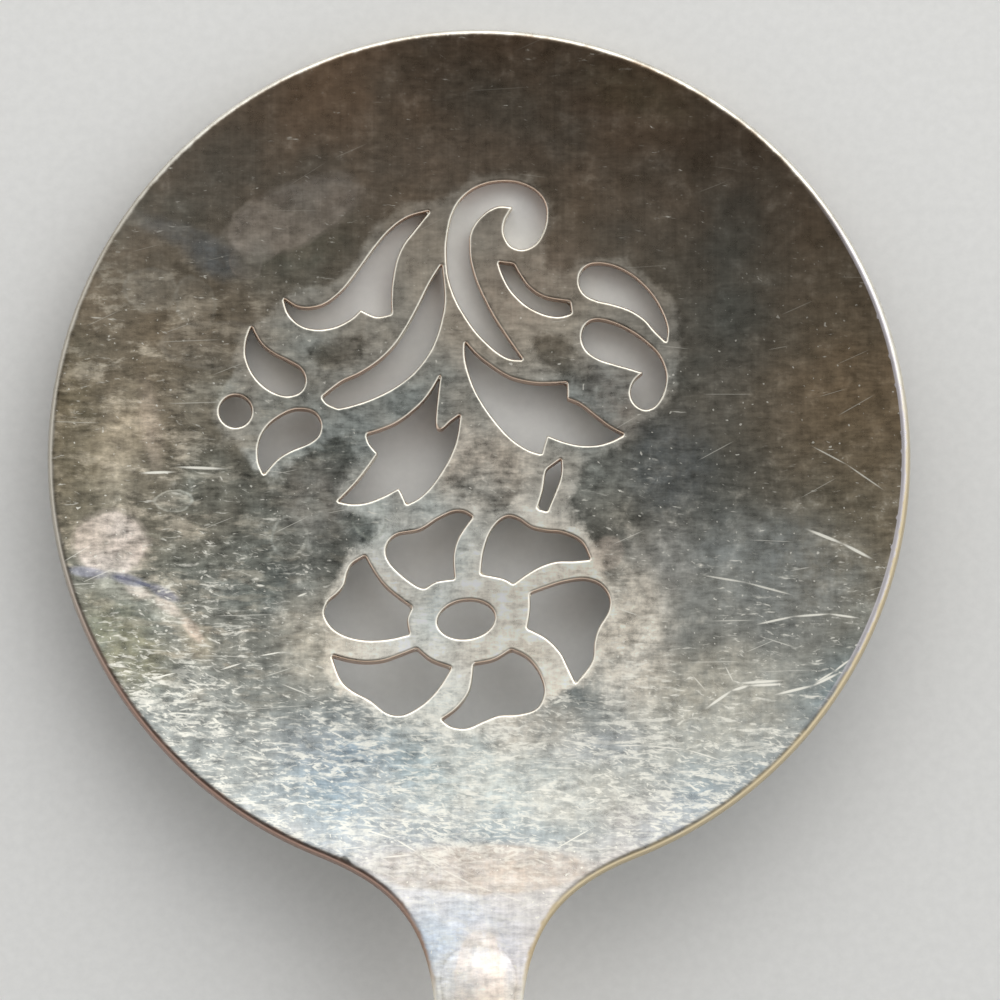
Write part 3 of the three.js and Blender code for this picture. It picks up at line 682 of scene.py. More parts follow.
def shell_columns(half, reach):
    """Angles across a half shell from its right seam to its left, and each one's place on the thread.
    That place is 0 on the thread's crest and 1 at its foot."""
    across = math.hypot(half * math.sin(THREAD_ANGLE), reach * math.cos(THREAD_ANGLE))
    spread = min(THREAD_HALF_WIDTH / across, THREAD_ANGLE / 2)
    right = np.concatenate([
        np.linspace(0, THREAD_ANGLE - spread, SEAM_COLUMNS, endpoint=False),
        np.linspace(THREAD_ANGLE - spread, THREAD_ANGLE + spread, THREAD_COLUMNS, endpoint=False),
        np.linspace(THREAD_ANGLE + spread, math.pi / 2, FACE_COLUMNS + 1),
    ])
    place = np.abs(right - THREAD_ANGLE) / spread
    return np.concatenate([right, math.pi - right[-2::-1]]), np.concatenate([place, place[-2::-1]])


def handle_shell(name, side, node):
    """One half shell. Side is 1 for the front shell and -1 for the back shell."""
    points, recess, wear = [], [], []
    thread_start = MOUTH_STATION + COLLAR_SKIRT_LENGTH

    def add_row(section, inset):
        station, half, reach = section
        angles, place = shell_columns(half, reach)
        strength = smoothstep(station, thread_start, thread_start + 2 * THREAD_HALF_WIDTH)
        strength *= smoothstep(half, THREAD_HALF_WIDTH, 4 * THREAD_HALF_WIDTH)
        crest = np.maximum(0, 1 - place**2) * strength * (inset == 0)
        raised = THREAD_HEIGHT * crest
        x = (half + raised) * np.cos(angles)
        lift = SEAM_GAP / 2 + (reach - SEAM_GAP / 2 + raised) * np.sin(angles)
        x[0] -= min(SEAM_GROOVE, half / 2)
        x[-1] += min(SEAM_GROOVE, half / 2)
        foot = np.clip(1 - np.abs(place - 1) / THREAD_FOOT_SHARE, 0, 1) * strength
        seam = np.zeros_like(foot)
        seam[[0, -1]] = 1
        points.extend(on_server(x, np.full_like(x, -station), side * lift - AXIS_DEPTH))
        recess.extend(np.maximum(foot, seam))
        wear.extend(crest)
        return list(range(len(points) - len(x), len(points)))

    def add_tip(inset):
        station = butt_section(math.pi / 2, inset)[0]
        points.append(on_server(0, -station, side * SEAM_GAP / 2 - AXIS_DEPTH))
        recess.append(0)
        wear.append(0)
        return len(points) - 1

    faces, edges = [], []
    for inset in (0, SHELL_WALL):
        rows = [add_row(section, inset) for section in shell_sections(inset)]
        tip = add_tip(inset)
        for row, next_row in zip(rows, rows[1:]):
            faces += strip(row, next_row)
        faces += [[rows[-1][i], tip, rows[-1][i + 1]] for i in range(len(rows[-1]) - 1)]
        right, left = [row[0] for row in rows] + [tip], [row[-1] for row in rows] + [tip]
        edges.append((rows[0], right, left))
    for outside, within in zip(*edges):
        faces += strip(outside, within)
    fields = {"recess": recess, "edge_wear": wear}
    return make_piece(name, points, faces, fields, node)


def arc(middle, radii, start, end):
    """Points along part of an ellipse, in stations and growth over the handle's mouth."""
    angles = [lerp(start, end, i / ARC_STEPS) for i in range(ARC_STEPS + 1)]
    return [(middle[0] + radii[0] * math.cos(a), middle[1] + radii[1] * math.sin(a)) for a in angles]


def handle_collar():
    """A drawn cap: front wall with a slot for the tang, a bead, and a skirt soldered over the shells."""
    outside = FIT_GAP + COLLAR_WALL
    bead_middle = COLLAR_FRONT + (COLLAR_CHAMFER + COLLAR_FRONT_THICKNESS) / 2
    bead_half = (COLLAR_FRONT_THICKNESS - COLLAR_CHAMFER) / 2
    rounding = COLLAR_WALL / 2
    quarter = math.pi / 2
    front = (COLLAR_FRONT + COLLAR_CHAMFER, outside - COLLAR_CHAMFER)
    end = (COLLAR_SKIRT_END - rounding, outside - rounding)
    profile = arc(front, (COLLAR_CHAMFER, COLLAR_CHAMFER), 2 * quarter, quarter)
    profile += arc((bead_middle, outside), (bead_half, COLLAR_BEAD_HEIGHT), 2 * quarter, quarter)
    profile += arc((bead_middle, outside), (bead_half, COLLAR_BEAD_HEIGHT), quarter, 0)[1:]
    profile += arc(end, (rounding, rounding), quarter, 0)
    profile += [(COLLAR_SKIRT_END, SOLDER_GAP), (COLLAR_WALL_END, SOLDER_GAP)]
    stations, growths = np.array(profile).T

    angles = np.linspace(0, 2 * math.pi, COLLAR_SIDES, endpoint=False)
    square = np.maximum(np.abs(np.cos(angles)), np.abs(np.sin(angles)))
    slot = ((TANG_WIDTH / 2 - SLOT_OVERLAP) / square, (TANG_THICKNESS / 2 - SLOT_OVERLAP) / square)
    rings = [(COLLAR_FRONT, *slot)]
    rings += [(at, MOUTH_WIDTH / 2 + growth, MOUTH_THICKNESS / 2 + growth) for at, growth in profile]
    rings.append((COLLAR_WALL_END, *slot))
    points, rows = [], []
    for station, half, reach in rings:
        first = len(points)
        x, lift = half * np.cos(angles), reach * np.sin(angles)
        points.extend(on_server(x, np.full_like(x, -station), lift - AXIS_DEPTH))
        rows.append([*range(first, first + COLLAR_SIDES), first])
    faces = [face for row, next_row in zip(rows, rows[1:] + rows[:1]) for face in strip(row, next_row)]

    from_foot = np.abs(np.abs(stations - bead_middle) / bead_half - 1)
    foot = np.clip(1 - from_foot / BEAD_FOOT_SHARE, 0, 1) * (growths > outside - SOLDER_GAP)
    crest = np.clip((growths - outside) / COLLAR_BEAD_HEIGHT, 0, 1)
    fields = {
        "recess": np.repeat([0, *foot, 0], COLLAR_SIDES),
        "edge_wear": np.repeat([0, *crest, 0], COLLAR_SIDES),
    }
    return make_piece("collar_cap", points, faces, fields, "handle_collar")


# Materials

class Graph:
    """Short calls that add nodes to a node tree. A value is a number, a tuple or another node's output."""

    def __init__(self, tree):
        self.tree = tree
        tree.nodes.clear()

    def node(self, kind, inputs=None, **settings):
        made = self.tree.nodes.new("ShaderNode" + kind)
        for key, value in settings.items():
            setattr(made, key, value)
        for key, value in (inputs or {}).items():
            socket = made.inputs[key]
            if isinstance(value, bpy.types.NodeSocket):
                self.tree.links.new(value, socket)
            else:
                socket.default_value = (*value, 1.0) if socket.type == "RGBA" else value
        return made

    def math(self, operation, *values):
        return self.node("Math", dict(enumerate(values)), operation=operation).outputs[0]

    def chained(self, operation, values):
        total, *others = values
        for value in others:
            total = self.math(operation, total, value)
        return total

    def add(self, *values):
        return self.chained("ADD", values)

    def times(self, *values):
        return self.chained("MULTIPLY", values)

    def most(self, *values):
        return self.chained("MAXIMUM", values)

    def vector(self, operation, *values):
        made = self.node("VectorMath", dict(enumerate(values)), operation=operation)
        return made.outputs[1 if operation in ("DOT_PRODUCT", "DISTANCE") else 0]

    def scaled(self, vector, scale):
        return self.node("VectorMath", {0: vector, 3: scale}, operation="SCALE").outputs[0]

    def part(self, vector, axis):
        """One part of a vector. A Separate node would keep its unused outputs through the whole shader."""
        return self.vector("DOT_PRODUCT", vector, [float(i == axis) for i in range(3)])

    def joined(self, x, y, z):
        return self.node("CombineXYZ", {0: x, 1: y, 2: z}).outputs[0]

    def turned(self, vector, turn, length, width):
        """How far a vector reaches along and across a direction, in lengths and widths. Mapping nodes
        would do the same, but they need more of Cycles' stack."""
        cosine, sine = math.cos(turn), math.sin(turn)
        along = self.vector("DOT_PRODUCT", vector, (cosine / length, sine / length, 0.0))
        across = self.vector("DOT_PRODUCT", vector, (-sine / width, cosine / width, 0.0))
        return along, across

    def fitted(self, value, low, high, start=0.0, end=1.0, kind="SMOOTHSTEP"):
        """The value's place between low and high, as a number that stays between start and end.
        The node's own clamp is off, because it would keep values alive through the whole shader."""
        inputs = {0: value, 1: low, 2: high, 3: start, 4: end}
        return self.node("MapRange", inputs, interpolation_type=kind, clamp=False).outputs[0]

    def spread(self, value, low, high, start=0.0, end=1.0):
        """The same in a straight line, which goes on past both ends."""
        return self.fitted(value, low, high, start, end, "LINEAR")

    def mixed(self, share, first, second, blend="MIX"):
        inputs = {0: share, 6: first, 7: second}
        return self.node("Mix", inputs, data_type="RGBA", blend_type=blend).outputs[2]

    def ramp(self, value, stops):
        made = self.node("ValToRGB", {0: value})
        elements = made.color_ramp.elements
        while len(elements) < len(stops):
            elements.new(0.5)
        for element, (position, colour) in zip(elements, stops):
            element.position = position
            element.color = (*colour, 1)
        return made.outputs[0]

    def noise(self, vector, scale, detail, roughness=0.5):
        inputs = {"Vector": vector, "Scale": scale, "Detail": detail, "Roughness": roughness}
        return self.node("TexNoise", inputs).outputs[0]

    def stretched(self, vector, stretch, detail, roughness):
        """A noise with its own scale along x and along y."""
        return self.noise(self.vector("MULTIPLY", vector, (*stretch, 1.0)), 1.0, detail, roughness)

    def wandering(self, vector, scale, detail, reach):
        """The vector moved about in its plane. Links from colours to vectors need more of Cycles' stack."""
        away = []
        for height in WANDER_LAYERS:
            layer = self.vector("ADD", vector, (0.0, 0.0, height))
            away.append(self.noise(layer, scale, detail))
        x, y = [self.math("MULTIPLY_ADD", value, reach, -reach / 2) for value in away]
        return self.vector("ADD", vector, self.joined(x, y, 0.0))

    def grey(self, value):
        return self.node("CombineColor", {0: value, 1: value, 2: value}).outputs[0]

    def field(self, name):
        return self.node("Attribute", attribute_name=name, attribute_type="GEOMETRY").outputs["Fac"]

    def millimetres(self, origin=None):
        """The place on the object in millimetres, from a point in the frame if one is given."""
        place = self.node("TexCoord").outputs["Object"]
        if origin is not None:
            place = self.vector("SUBTRACT", place, origin)
        return self.scaled(place, 1 / MM)

    def bump(self, height):
        return self.node("Bump", {"Strength": 1.0, "Distance": MM, "Height": height}).outputs[0]

    def surface(self, inputs):
        shader = self.node("BsdfPrincipled", inputs)
        self.node("OutputMaterial", {"Surface": shader.outputs[0]})


def new_material(name):
    material = bpy.data.materials.new(name)
    material.use_nodes = True
    return material, Graph(material.node_tree)


# Fine scratches: direction in degrees, then longest length, spacing and width in millimetres, and share
# of their places that are filled
FINE_SCRATCHES = [
    (-3, 6, 1.7, 0.06, 0.12),
    (17, 4, 2.3, 0.06, 0.1),
]
FINE_STRENGTH = 0.5
ROW_SHIFT = 0.382

# Flecks: direction in degrees, and how many follow one another in a millimetre along and across it
FLECK_LAYERS = [
    (5, 0.75, 2.9),
    (-22, 1.1, 3.6),
    (-3, 0.4, 2.3),
]

# Single scratches on the blade, in the photograph's pixels, with a width in millimetres and a strength
SCRATCHES = [
    ([(139, 474.5), (178, 473)], 0.3, 1),
    ([(173, 468), (231, 470)], 0.3, 1),
    ([(151, 680), (183, 672.5)], 0.16, 1),
    ([(221, 671), (246, 663)], 0.18, 0.92),
    ([(259, 657), (287, 652)], 0.16, 1),
    ([(280, 683), (315, 697)], 0.14, 0.69),
    ([(170, 712), (210, 715.5)], 0.17, 0.8),
    ([(174, 718.5), (195, 719.5)], 0.13, 0.8),
    ([(258, 742), (301, 743.5)], 0.13, 0.69),
    ([(297, 598), (309, 593.5)], 0.21, 1),
    ([(256, 586), (267, 587)], 0.24, 0.92),
    ([(352, 782), (392, 798.5)], 0.14, 0.69),
    ([(812, 448), (845, 466), (880, 491)], 0.16, 0.7),
    ([(806, 531), (840, 545), (868, 560)], 0.34, 1),
    ([(703, 576.5), (744, 583.5), (788, 595.5)], 0.22, 0.8),
    ([(704, 622), (756, 621)], 0.12, 0.57),
    ([(756, 625), (791, 617.5), (826, 615), (854, 619)], 0.24, 0.95),
    ([(759, 637.5), (796, 649.5)], 0.13, 0.52),
    ([(617, 676.5), (641, 677)], 0.18, 0.8),
    ([(722, 664.5), (732, 684.5)], 0.16, 0.69),
    ([(732, 684), (784, 680.5)], 0.32, 1),
    ([(704.5, 708), (729, 691), (746, 686), (780, 684.5)], 0.3, 1),
    ([(772, 695), (809, 686), (834, 674)], 0.3, 0.95),
    ([(812, 683), (830, 672), (846, 660)], 0.22, 0.9),
    ([(689, 674), (705, 692.5)], 0.13, 0.63),
    ([(614, 745.5), (641, 745), (684, 749), (718, 759.5)], 0.16, 0.8),
    ([(608, 719.5), (651, 722)], 0.13, 0.57),
    ([(613, 608), (641, 617.5)], 0.13, 0.69),
    ([(682, 779.5), (698, 792.5)], 0.23, 0.86),
    ([(545, 852), (595, 823.5)], 0.13, 1),
    ([(365, 827), (397, 837), (419, 850), (443, 866), (474, 882), (493, 888), (522, 897.5)], 0.18, 0.98),
    ([(376, 855.5), (420, 851.5)], 0.18, 0.92),
    ([(340, 847), (369, 844)], 0.16, 0.8),
    ([(392, 872.7), (414, 872.7)], 0.18, 0.8),
    ([(374, 878.4), (402, 878)], 0.18, 0.8),
    ([(388, 884), (424, 885.7)], 0.18, 0.92),
    ([(409, 898.5), (425, 898.5)], 0.18, 0.8),
    ([(512, 910), (552, 893.5)], 0.12, 0.8),
    ([(533, 855.5), (549, 862)], 0.21, 0.8),
    ([(477, 882), (485, 907), (492, 936)], 0.42, 0.63),
    ([(491, 903), (500, 936)], 0.38, 0.52),
]
SCRATCH_OVERLAP = 1.25

# Stains, and broad patches of painted reflection and shade, on the blade: centre in the photograph's pixels,
# length, width and turn in millimetres and degrees, then colour, strength of the fill and strength of the
# outline
STAINS_AND_PAINTED_LIGHT = [
    ((300, 240), 12, 8, 10, (0.14, 0.145, 0.11), 0.5, 0),
    ((292, 214), 12.4, 5.2, 24, (0.46, 0.4, 0.345), 0.75, 0.3),
    ((258, 230), 4.8, 5, 0, (0.54, 0.47, 0.4), 0.3, 0.4),
    ((330, 190), 5, 4, 10, (0.44, 0.37, 0.31), 0.3, 0.1),
    ((186, 236), 11, 2.4, -20, (0.27, 0.27, 0.27), 0.5, 0),
    ((214, 262), 6, 3.2, -24, (0.2, 0.225, 0.245), 0.6, 0),
    ((245, 262), 2.8, 2.6, 0, (0.4, 0.35, 0.3), 0.3, 0.5),
    ((150, 290), 4.2, 3.6, 0, (0.46, 0.43, 0.37), 0.3, 0.45),
    ((195, 303), 3.2, 4.4, 20, (0.44, 0.42, 0.37), 0.25, 0.4),
    ((215, 345), 9, 4, 0, (0.36, 0.33, 0.28), 0.3, 0.55),
    ((342, 330), 3.4, 4.4, -14, (0.4, 0.36, 0.3), 0.22, 0.35),
    ((640, 90), 14, 5, -20, (0.28, 0.25, 0.17), 0.45, 0),
    ((470, 150), 18, 6, 5, (0.33, 0.26, 0.2), 0.4, 0),
    ((118, 450), 5, 11, -12, (0.62, 0.55, 0.43), 0.6, 0),
    ((152, 425), 2.2, 9, 8, (0.66, 0.57, 0.48), 0.55, 0),
    ((188, 400), 8, 5, 10, (0.4, 0.36, 0.29), 0.45, 0),
    ((113, 546), 6.2, 5.8, 0, (0.84, 0.73, 0.65), 1, 0.3),
    ((174, 502), 3.1, 1.8, 6, (0.62, 0.6, 0.52), 0.3, 0.9),
    ((290, 538), 2.8, 3.6, -6, (0.52, 0.51, 0.45), 0.25, 0.85),
    ((310, 520), 3, 3.2, 0, (0.46, 0.45, 0.4), 0.35, 0.5),
    ((369, 520), 2.6, 3.4, 10, (0.55, 0.54, 0.46), 0.2, 0.6),
    ((125, 650), 12, 8, -48, (0.3, 0.28, 0.18), 0.8, 0),
    ((478, 468), 11, 9, 0, (0.86, 0.77, 0.66), 0.8, 0),
    ((605, 485), 7, 8, 20, (0.33, 0.34, 0.31), 0.6, 0),
    ((612, 400), 7, 8, 0, (0.32, 0.27, 0.23), 0.7, 0),
    ((520, 290), 16, 9, 30, (0.3, 0.25, 0.21), 0.5, 0),
    ((605, 555), 3.4, 3, 30, (0.72, 0.64, 0.57), 0.55, 0.1),
    ((740, 640), 19, 17, 0, (0.3, 0.3, 0.28), 0.5, 0),
    ((750, 578), 24, 12.5, 0, (0.4, 0.435, 0.44), 0.65, 0),
    ((668, 470), 9, 12, 0, (0.17, 0.195, 0.215), 0.45, 0),
    ((655, 565), 8.5, 8.5, 0, (0.52, 0.51, 0.48), 0.5, 0),
    ((318, 640), 8, 12, 0, (0.66, 0.63, 0.55), 0.6, 0),
    ((315, 500), 7, 8, 0, (0.42, 0.37, 0.32), 0.5, 0),
    ((480, 728), 24, 6, 0, (0.86, 0.79, 0.68), 0.55, 0),
    ((76, 430), 6, 23, 6, (0.17, 0.15, 0.1), 0.6, 0),
    ((630, 645), 8.6, 15.5, 0, (0.98, 0.94, 0.85), 0.85, 0),
    ((345, 765), 16, 6.8, -24, (0.36, 0.42, 0.48), 0.65, 0),
    ((480, 831), 19, 3, 0, (0.3, 0.37, 0.41), 0.8, 0),
    ((436, 622), 1.8, 5, 0, (1, 0.99, 0.93), 0.6, 0),
    ((600, 748), 11, 3.4, 8, (0.46, 0.5, 0.56), 0.4, 0),
    ((505, 785), 27, 9, 0, (0.84, 0.82, 0.73), 0.65, 0),
    ((715, 710), 18, 12, 20, (0.74, 0.72, 0.63), 0.65, 0),
    ((480, 866), 18.8, 4.2, 0, (0.58, 0.52, 0.47), 0.95, 0.3),
    ((480, 972), 4.4, 8.6, 0, (0.96, 0.84, 0.76), 0.8, 0.3),
]

# Streaks of colour on the blade, in the photograph's pixels, with a width in millimetres and a colour
STREAKS = [
    ([(100, 580), (148, 594), (186, 620), (212, 662)], 3, (0.44, 0.42, 0.35)),
    ([(128, 588), (156, 598), (184, 617), (206, 644)], 1.3, (0.82, 0.71, 0.61)),
    ([(70, 571), (112, 576), (150, 586), (182, 602)], 1.2, (0.36, 0.35, 0.4)),
    ([(116, 577), (136, 582), (158, 589)], 0.4, (0.19, 0.19, 0.25)),
]

# The plate's colour along the blade: distance from the middle to the tip in millimetres, and colour
# It runs from dark at the tip to bright at the neck: partly tarnish, and partly painted reflection of the
# light over the plate.
PLATE_COLOURS = [
    (-44, (0.93, 0.88, 0.83)),
    (-40, (0.8, 0.8, 0.85)),
    (-34, (0.62, 0.61, 0.61)),
    (-28, (0.42, 0.465, 0.485)),
    (-19, (0.25, 0.28, 0.285)),
    (-9, (0.178, 0.188, 0.176)),
    (3, (0.172, 0.165, 0.142)),
    (15, (0.208, 0.186, 0.152)),
    (34, (0.285, 0.208, 0.147)),
]
HANDLE_COLOUR = (0.66, 0.64, 0.59)
FLECK_COLOUR = (0.96, 0.93, 0.83)
BAND_COLOUR = (1.0, 0.96, 0.87)
DULL_BAND_COLOUR = (0.88, 0.85, 0.77)
SMEAR_COLOUR = (0.60, 0.54, 0.44)
EDGE_SILVER = (0.86, 0.81, 0.70)
# Painted shade over copper wear, for edges and walls that face away from the light:
SHADED_EDGE_PEACH = (0.84, 0.66, 0.53)
SHADED_BARE_COPPER = (0.60, 0.40, 0.30)
RIM_SILVER = (0.80, 0.76, 0.67)
RIM_BRIGHT = (0.90, 0.87, 0.78)
# Painted shade for the rim's left side, which faces away from the light:
RIM_DULL = (0.40, 0.36, 0.30)
# A painted reflection, for the line just inside the right rim:
RIM_LAVENDER_REFLECTION = (0.74, 0.70, 0.73)
RIM_BRASS = (0.66, 0.55, 0.36)
# Painted shade over copper wear, low on the rim's left:
RIM_BROWN = (0.38, 0.25, 0.20)
GRIME = (0.10, 0.085, 0.07)
LEFT_CAST = (1.34, 1.22, 1.07)
RIGHT_CAST = (1.45, 1.22, 0.98)

# Casts that wander over all of the plate: value of the noise, and what the colour is multiplied by
CASTS = [
    (0.36, (0.86, 0.95, 1.0)),
    (0.5, (0.97, 0.96, 0.94)),
    (0.64, (1.02, 0.96, 0.89)),
]
CEMENT_COLOURS = [
    (0.3, (0.055, 0.043, 0.034)),
    (0.7, (0.12, 0.095, 0.075)),
]

# The piercings' edges and walls that face this way, away from the light, have lost their silver and carry
# painted shade.
COPPER_AND_SHADE_SIDE = (-0.45, -0.89, 0.0)
WANDER_LAYERS = (31.0, 57.0)
TOPSIDE_LAYER = 7.0
STREAK_STRENGTH = 0.85
BLADE_ROUGHNESS = 0.30
HANDLE_ROUGHNESS = 0.25
HANDLE_CROWDED = 0.3
HANDLE_UNEVENNESS = 0.3


def plate_noises(g):
    """The numbers and noises behind the plate's looks. Places are in millimetres from the blade's middle,
    so x runs to the right and y to the tip. The clouds are large, and the mottle is small."""
    plate = SimpleNamespace(place=g.millimetres(BLADE_CENTRE))
    plate.x, plate.y = g.part(plate.place, 0), g.part(plate.place, 1)
    plate.above = g.math("GREATER_THAN", g.field("topside"), 0.5)
    plate.grain = g.vector("ADD", plate.place, g.joined(0, 0, g.times(plate.above, TOPSIDE_LAYER)))
    plate.lively = g.wandering(plate.grain, 0.45, 2, 0.5)
    plate.clouds = g.noise(plate.grain, 0.09, 5, 0.6)
    plate.mottle = g.noise(plate.lively, 0.6, 6, 0.7)
    plate.brushed = g.stretched(plate.grain, (3.2, 0.06), 4, 0.6)
    long_strokes = g.stretched(plate.lively, (0.6, 2.6), 4, 0.65)
    plate.strokes = g.add(long_strokes, g.stretched(plate.lively, (0.9, 1.3), 4, 0.65))
    return plate


def oval_reach(g, place, middle, length, width, turn):
    """Distance from an oval's middle on the blade, in millimetres, as a share of the way to its edge."""
    along, across = g.turned(place, turn, length / 2, width / 2)
    cosine, sine = math.cos(turn), math.sin(turn)
    centre_along = (middle.x * cosine + middle.y * sine) / MM / (length / 2)
    centre_across = (middle.y * cosine - middle.x * sine) / MM / (width / 2)
    return g.vector("DISTANCE", g.joined(along, across, 0), (centre_along, centre_across, 0))


def with_streak(g, total, place, path, width, strength):
    """A mask with a bent line over the blade added to it. Each stretch of the line is a very thin oval."""
    for start, end in zip(path, path[1:]):
        start, end = from_photo(start), from_photo(end)
        along = end - start
        length = along.length / MM * (SCRATCH_OVERLAP if len(path) > 2 else 1)
        reach = oval_reach(g, place, (start + end) / 2, length, width, math.atan2(along.y, along.x))
        total = g.most(total, g.fitted(reach, 0.4, 1, strength, 0))
    return total


def blade_tones(g, plate):
    """The plate's colour over the blade, how crowded its flecks are, and where its smeared left side is."""
    first, last = PLATE_COLOURS[0][0], PLATE_COLOURS[-1][0]
    drifted = g.add(plate.y, g.spread(plate.clouds, 0.25, 0.75, -5, 5))
    stops = [((at - first) / (last - first), tint) for at, tint in PLATE_COLOURS]
    # The ramp paints reflected light and shade as well as tarnish: darker towards the tip, brighter towards
    # the neck.
    colour = g.ramp(g.spread(drifted, first, last), stops)
    left = g.times(g.fitted(plate.x, -4, -30), g.fitted(plate.y, 24, 6), g.fitted(plate.y, -26, -10))
    colour = g.mixed(left, colour, LEFT_CAST, "MULTIPLY")
    right = g.times(
        g.fitted(plate.x, 20, 31),
        g.fitted(plate.y, -24, -8),
        g.fitted(plate.y, 24, 4, 0.25, 1),
    )
    colour = g.mixed(right, colour, RIGHT_CAST, "MULTIPLY")
    crowded = g.most(g.fitted(drifted, 14, -30), g.times(left, 0.42), 0.15)
    calm_right = g.times(g.fitted(plate.x, 8, 18), g.fitted(plate.y, -27, -17))
    calm_left = g.times(g.fitted(plate.x, -24, -30), g.fitted(plate.y, -21, -16))
    calm = g.most(calm_right, calm_left)
    return colour, g.times(crowded, g.fitted(calm, 0, 1, 1, 0.7)), left


def stained_and_painted_light(g, plate, colour):
    """The colour with the listed stains, broad patches of painted reflection and shade, and streaks over it,
    on the blade's top.
    """
    wobbly = g.wandering(plate.place, 0.6, 3, 0.8)
    patchy = g.times(g.fitted(g.noise(plate.place, 0.9, 5, 0.7), 0.3, 0.65, 0.5, 1), plate.above)
    # Some are real stains; the broad light and dark patches paint reflected light and shade.
    for middle, length, width, turn, tint, fill, outline in STAINS_AND_PAINTED_LIGHT:
        reach = oval_reach(g, wobbly, from_photo(middle), length, width, math.radians(turn))
        filled = g.fitted(reach, 0.85 if outline else 0.3, 1.02 if outline else 1.15, fill, 0)
        ring = g.times(g.fitted(reach, 0.8, 0.94), g.fitted(reach, 0.96, 1.1, outline, 0))
        colour = g.mixed(g.times(g.most(filled, ring), patchy), colour, tint)
    for path, width, tint in STREAKS:
        shape = with_streak(g, 0, plate.place, path, width, STREAK_STRENGTH)
        colour = g.mixed(g.times(shape, plate.above), colour, tint)
    return colour


def with_casts(g, plate, colour, share):
    """The colour with the warm and cool casts over it."""
    casts = g.ramp(g.noise(plate.grain, 0.07, 3, 0.55), CASTS)
    return g.mixed(share, colour, casts, "MULTIPLY")


def blade_ground(g, plate):
    """The blade's colour before its shading, how crowded its flecks are, and how uneven its shading is."""
    colour, crowded, left = blade_tones(g, plate)
    ragged = g.add(g.field("openwork"), g.spread(plate.mottle, 0.25, 0.75, -0.3, 0.3))
    bands = g.times(g.fitted(ragged, 0, 0.7), g.fitted(plate.y, 4, -9, 0.28, 1), plate.above)
    band_colour = g.mixed(g.fitted(plate.mottle, 0.35, 0.6), DULL_BAND_COLOUR, BAND_COLOUR)
    colour = g.mixed(bands, colour, band_colour)
    smears = g.stretched(plate.lively, (0.2, 0.62), 5, 0.68)
    smears = g.times(g.fitted(smears, 0.5, 0.62, 0, 0.85), left)
    colour = stained_and_painted_light(g, plate, g.mixed(smears, colour, SMEAR_COLOUR))
    colour = with_casts(g, plate, colour, 1)
    unevenness = g.times(
        g.fitted(plate.y, 20, 2, 0.4, 1),
        g.fitted(plate.y, -8, -38, 1, 0.5),
        g.fitted(bands, 0, 1, 1, 0.6),
        g.fitted(plate.x, 10, 20, 1, 0.7),
    )
    return colour, crowded, unevenness


def shaded(g, plate, colour, unevenness):
    """The colour with lighter and darker clouds, brushing, strokes and mottle."""
    shade = g.add(
        g.times(unevenness, g.add(
            g.spread(plate.mottle, 0.32, 0.68, -0.24, 0.24),
            g.spread(plate.strokes, 0.75, 1.25, -0.42, 0.42),
        )),
        g.spread(plate.brushed, 0.32, 0.68, -0.07, 0.07),
        g.spread(plate.clouds, 0.25, 0.75, -0.2, 0.2),
        1,
    )
    return g.mixed(1, colour, g.grey(shade), "MULTIPLY")


def scratch_layer(g, place, direction, length, spacing, width, filled):
    """One straight mark in each cell of a slanted grid, in millimetres, as a mask."""
    x, y = g.turned(place, math.radians(direction), length, spacing)
    row = g.math("FLOOR", y)
    x = g.math("MULTIPLY_ADD", row, ROW_SHIFT, x)
    column = g.math("FLOOR", x)
    numbers = [g.joined(column, row, float(direction + turn)) for turn in (0, 100, 200)]
    first, second, third = [g.node("TexWhiteNoise", {"Vector": number}).outputs[0] for number in numbers]
    along = g.math("SUBTRACT", g.math("FRACT", x), 0.5)
    across = g.math("SUBTRACT", g.math("FRACT", y), g.spread(first, 0, 1, 0.25, 0.75))
    slant = g.times(along, g.spread(second, 0, 1, -0.5, 0.5))
    off_line = g.times(g.math("ABSOLUTE", g.math("SUBTRACT", across, slant)), spacing)
    line = g.fitted(off_line, 0.15 * width, g.fitted(first, 0, 1, 0.5 * width, width), 1, 0)
    reach = g.spread(second, 0, 1, 0.12, 0.5)
    ends = g.fitted(g.math("ABSOLUTE", along), g.times(reach, 0.5), reach, 1, 0)
    chosen = g.math("GREATER_THAN", third, 1 - filled)
    return g.times(line, ends, chosen)


def wear_marks(g, plate, crowded, on_blade):
    """The flecks and scratches as a mask. Flecks are the high spots of stretched noises, and lie closer
    where the plate was rubbed most."""
    crowded = g.times(crowded, g.spread(plate.clouds, 0.3, 0.7, 1.35, 0.75))
    low = g.spread(crowded, 0, 1, 0.71, 0.55)
    flecks = 0
    for direction, along, across in FLECK_LAYERS:
        place = g.turned(plate.lively, math.radians(direction), 1 / along, 1 / across)
        value = g.noise(g.joined(*place, g.part(plate.grain, 2)), 1, 3, 0.62)
        flecks = g.most(flecks, g.fitted(g.math("SUBTRACT", value, low), -0.01, 0.09))
    layers = [scratch_layer(g, plate.grain, *layer) for layer in FINE_SCRATCHES]
    scratches = g.times(g.most(*layers), FINE_STRENGTH)
    if on_blade:
        scratches = g.times(scratches, g.fitted(plate.y, 20, -6, 0.3, 1))
        single = 0
        for scratch in SCRATCHES:
            single = with_streak(g, single, plate.place, *scratch)
        scratches = g.most(scratches, g.times(single, plate.above))
    strength = g.fitted(plate.mottle, 0.36, 0.6, 0.35, 1)
    return g.most(scratches, g.times(flecks, g.fitted(crowded, 0, 1, 0.65, 0.8), strength))


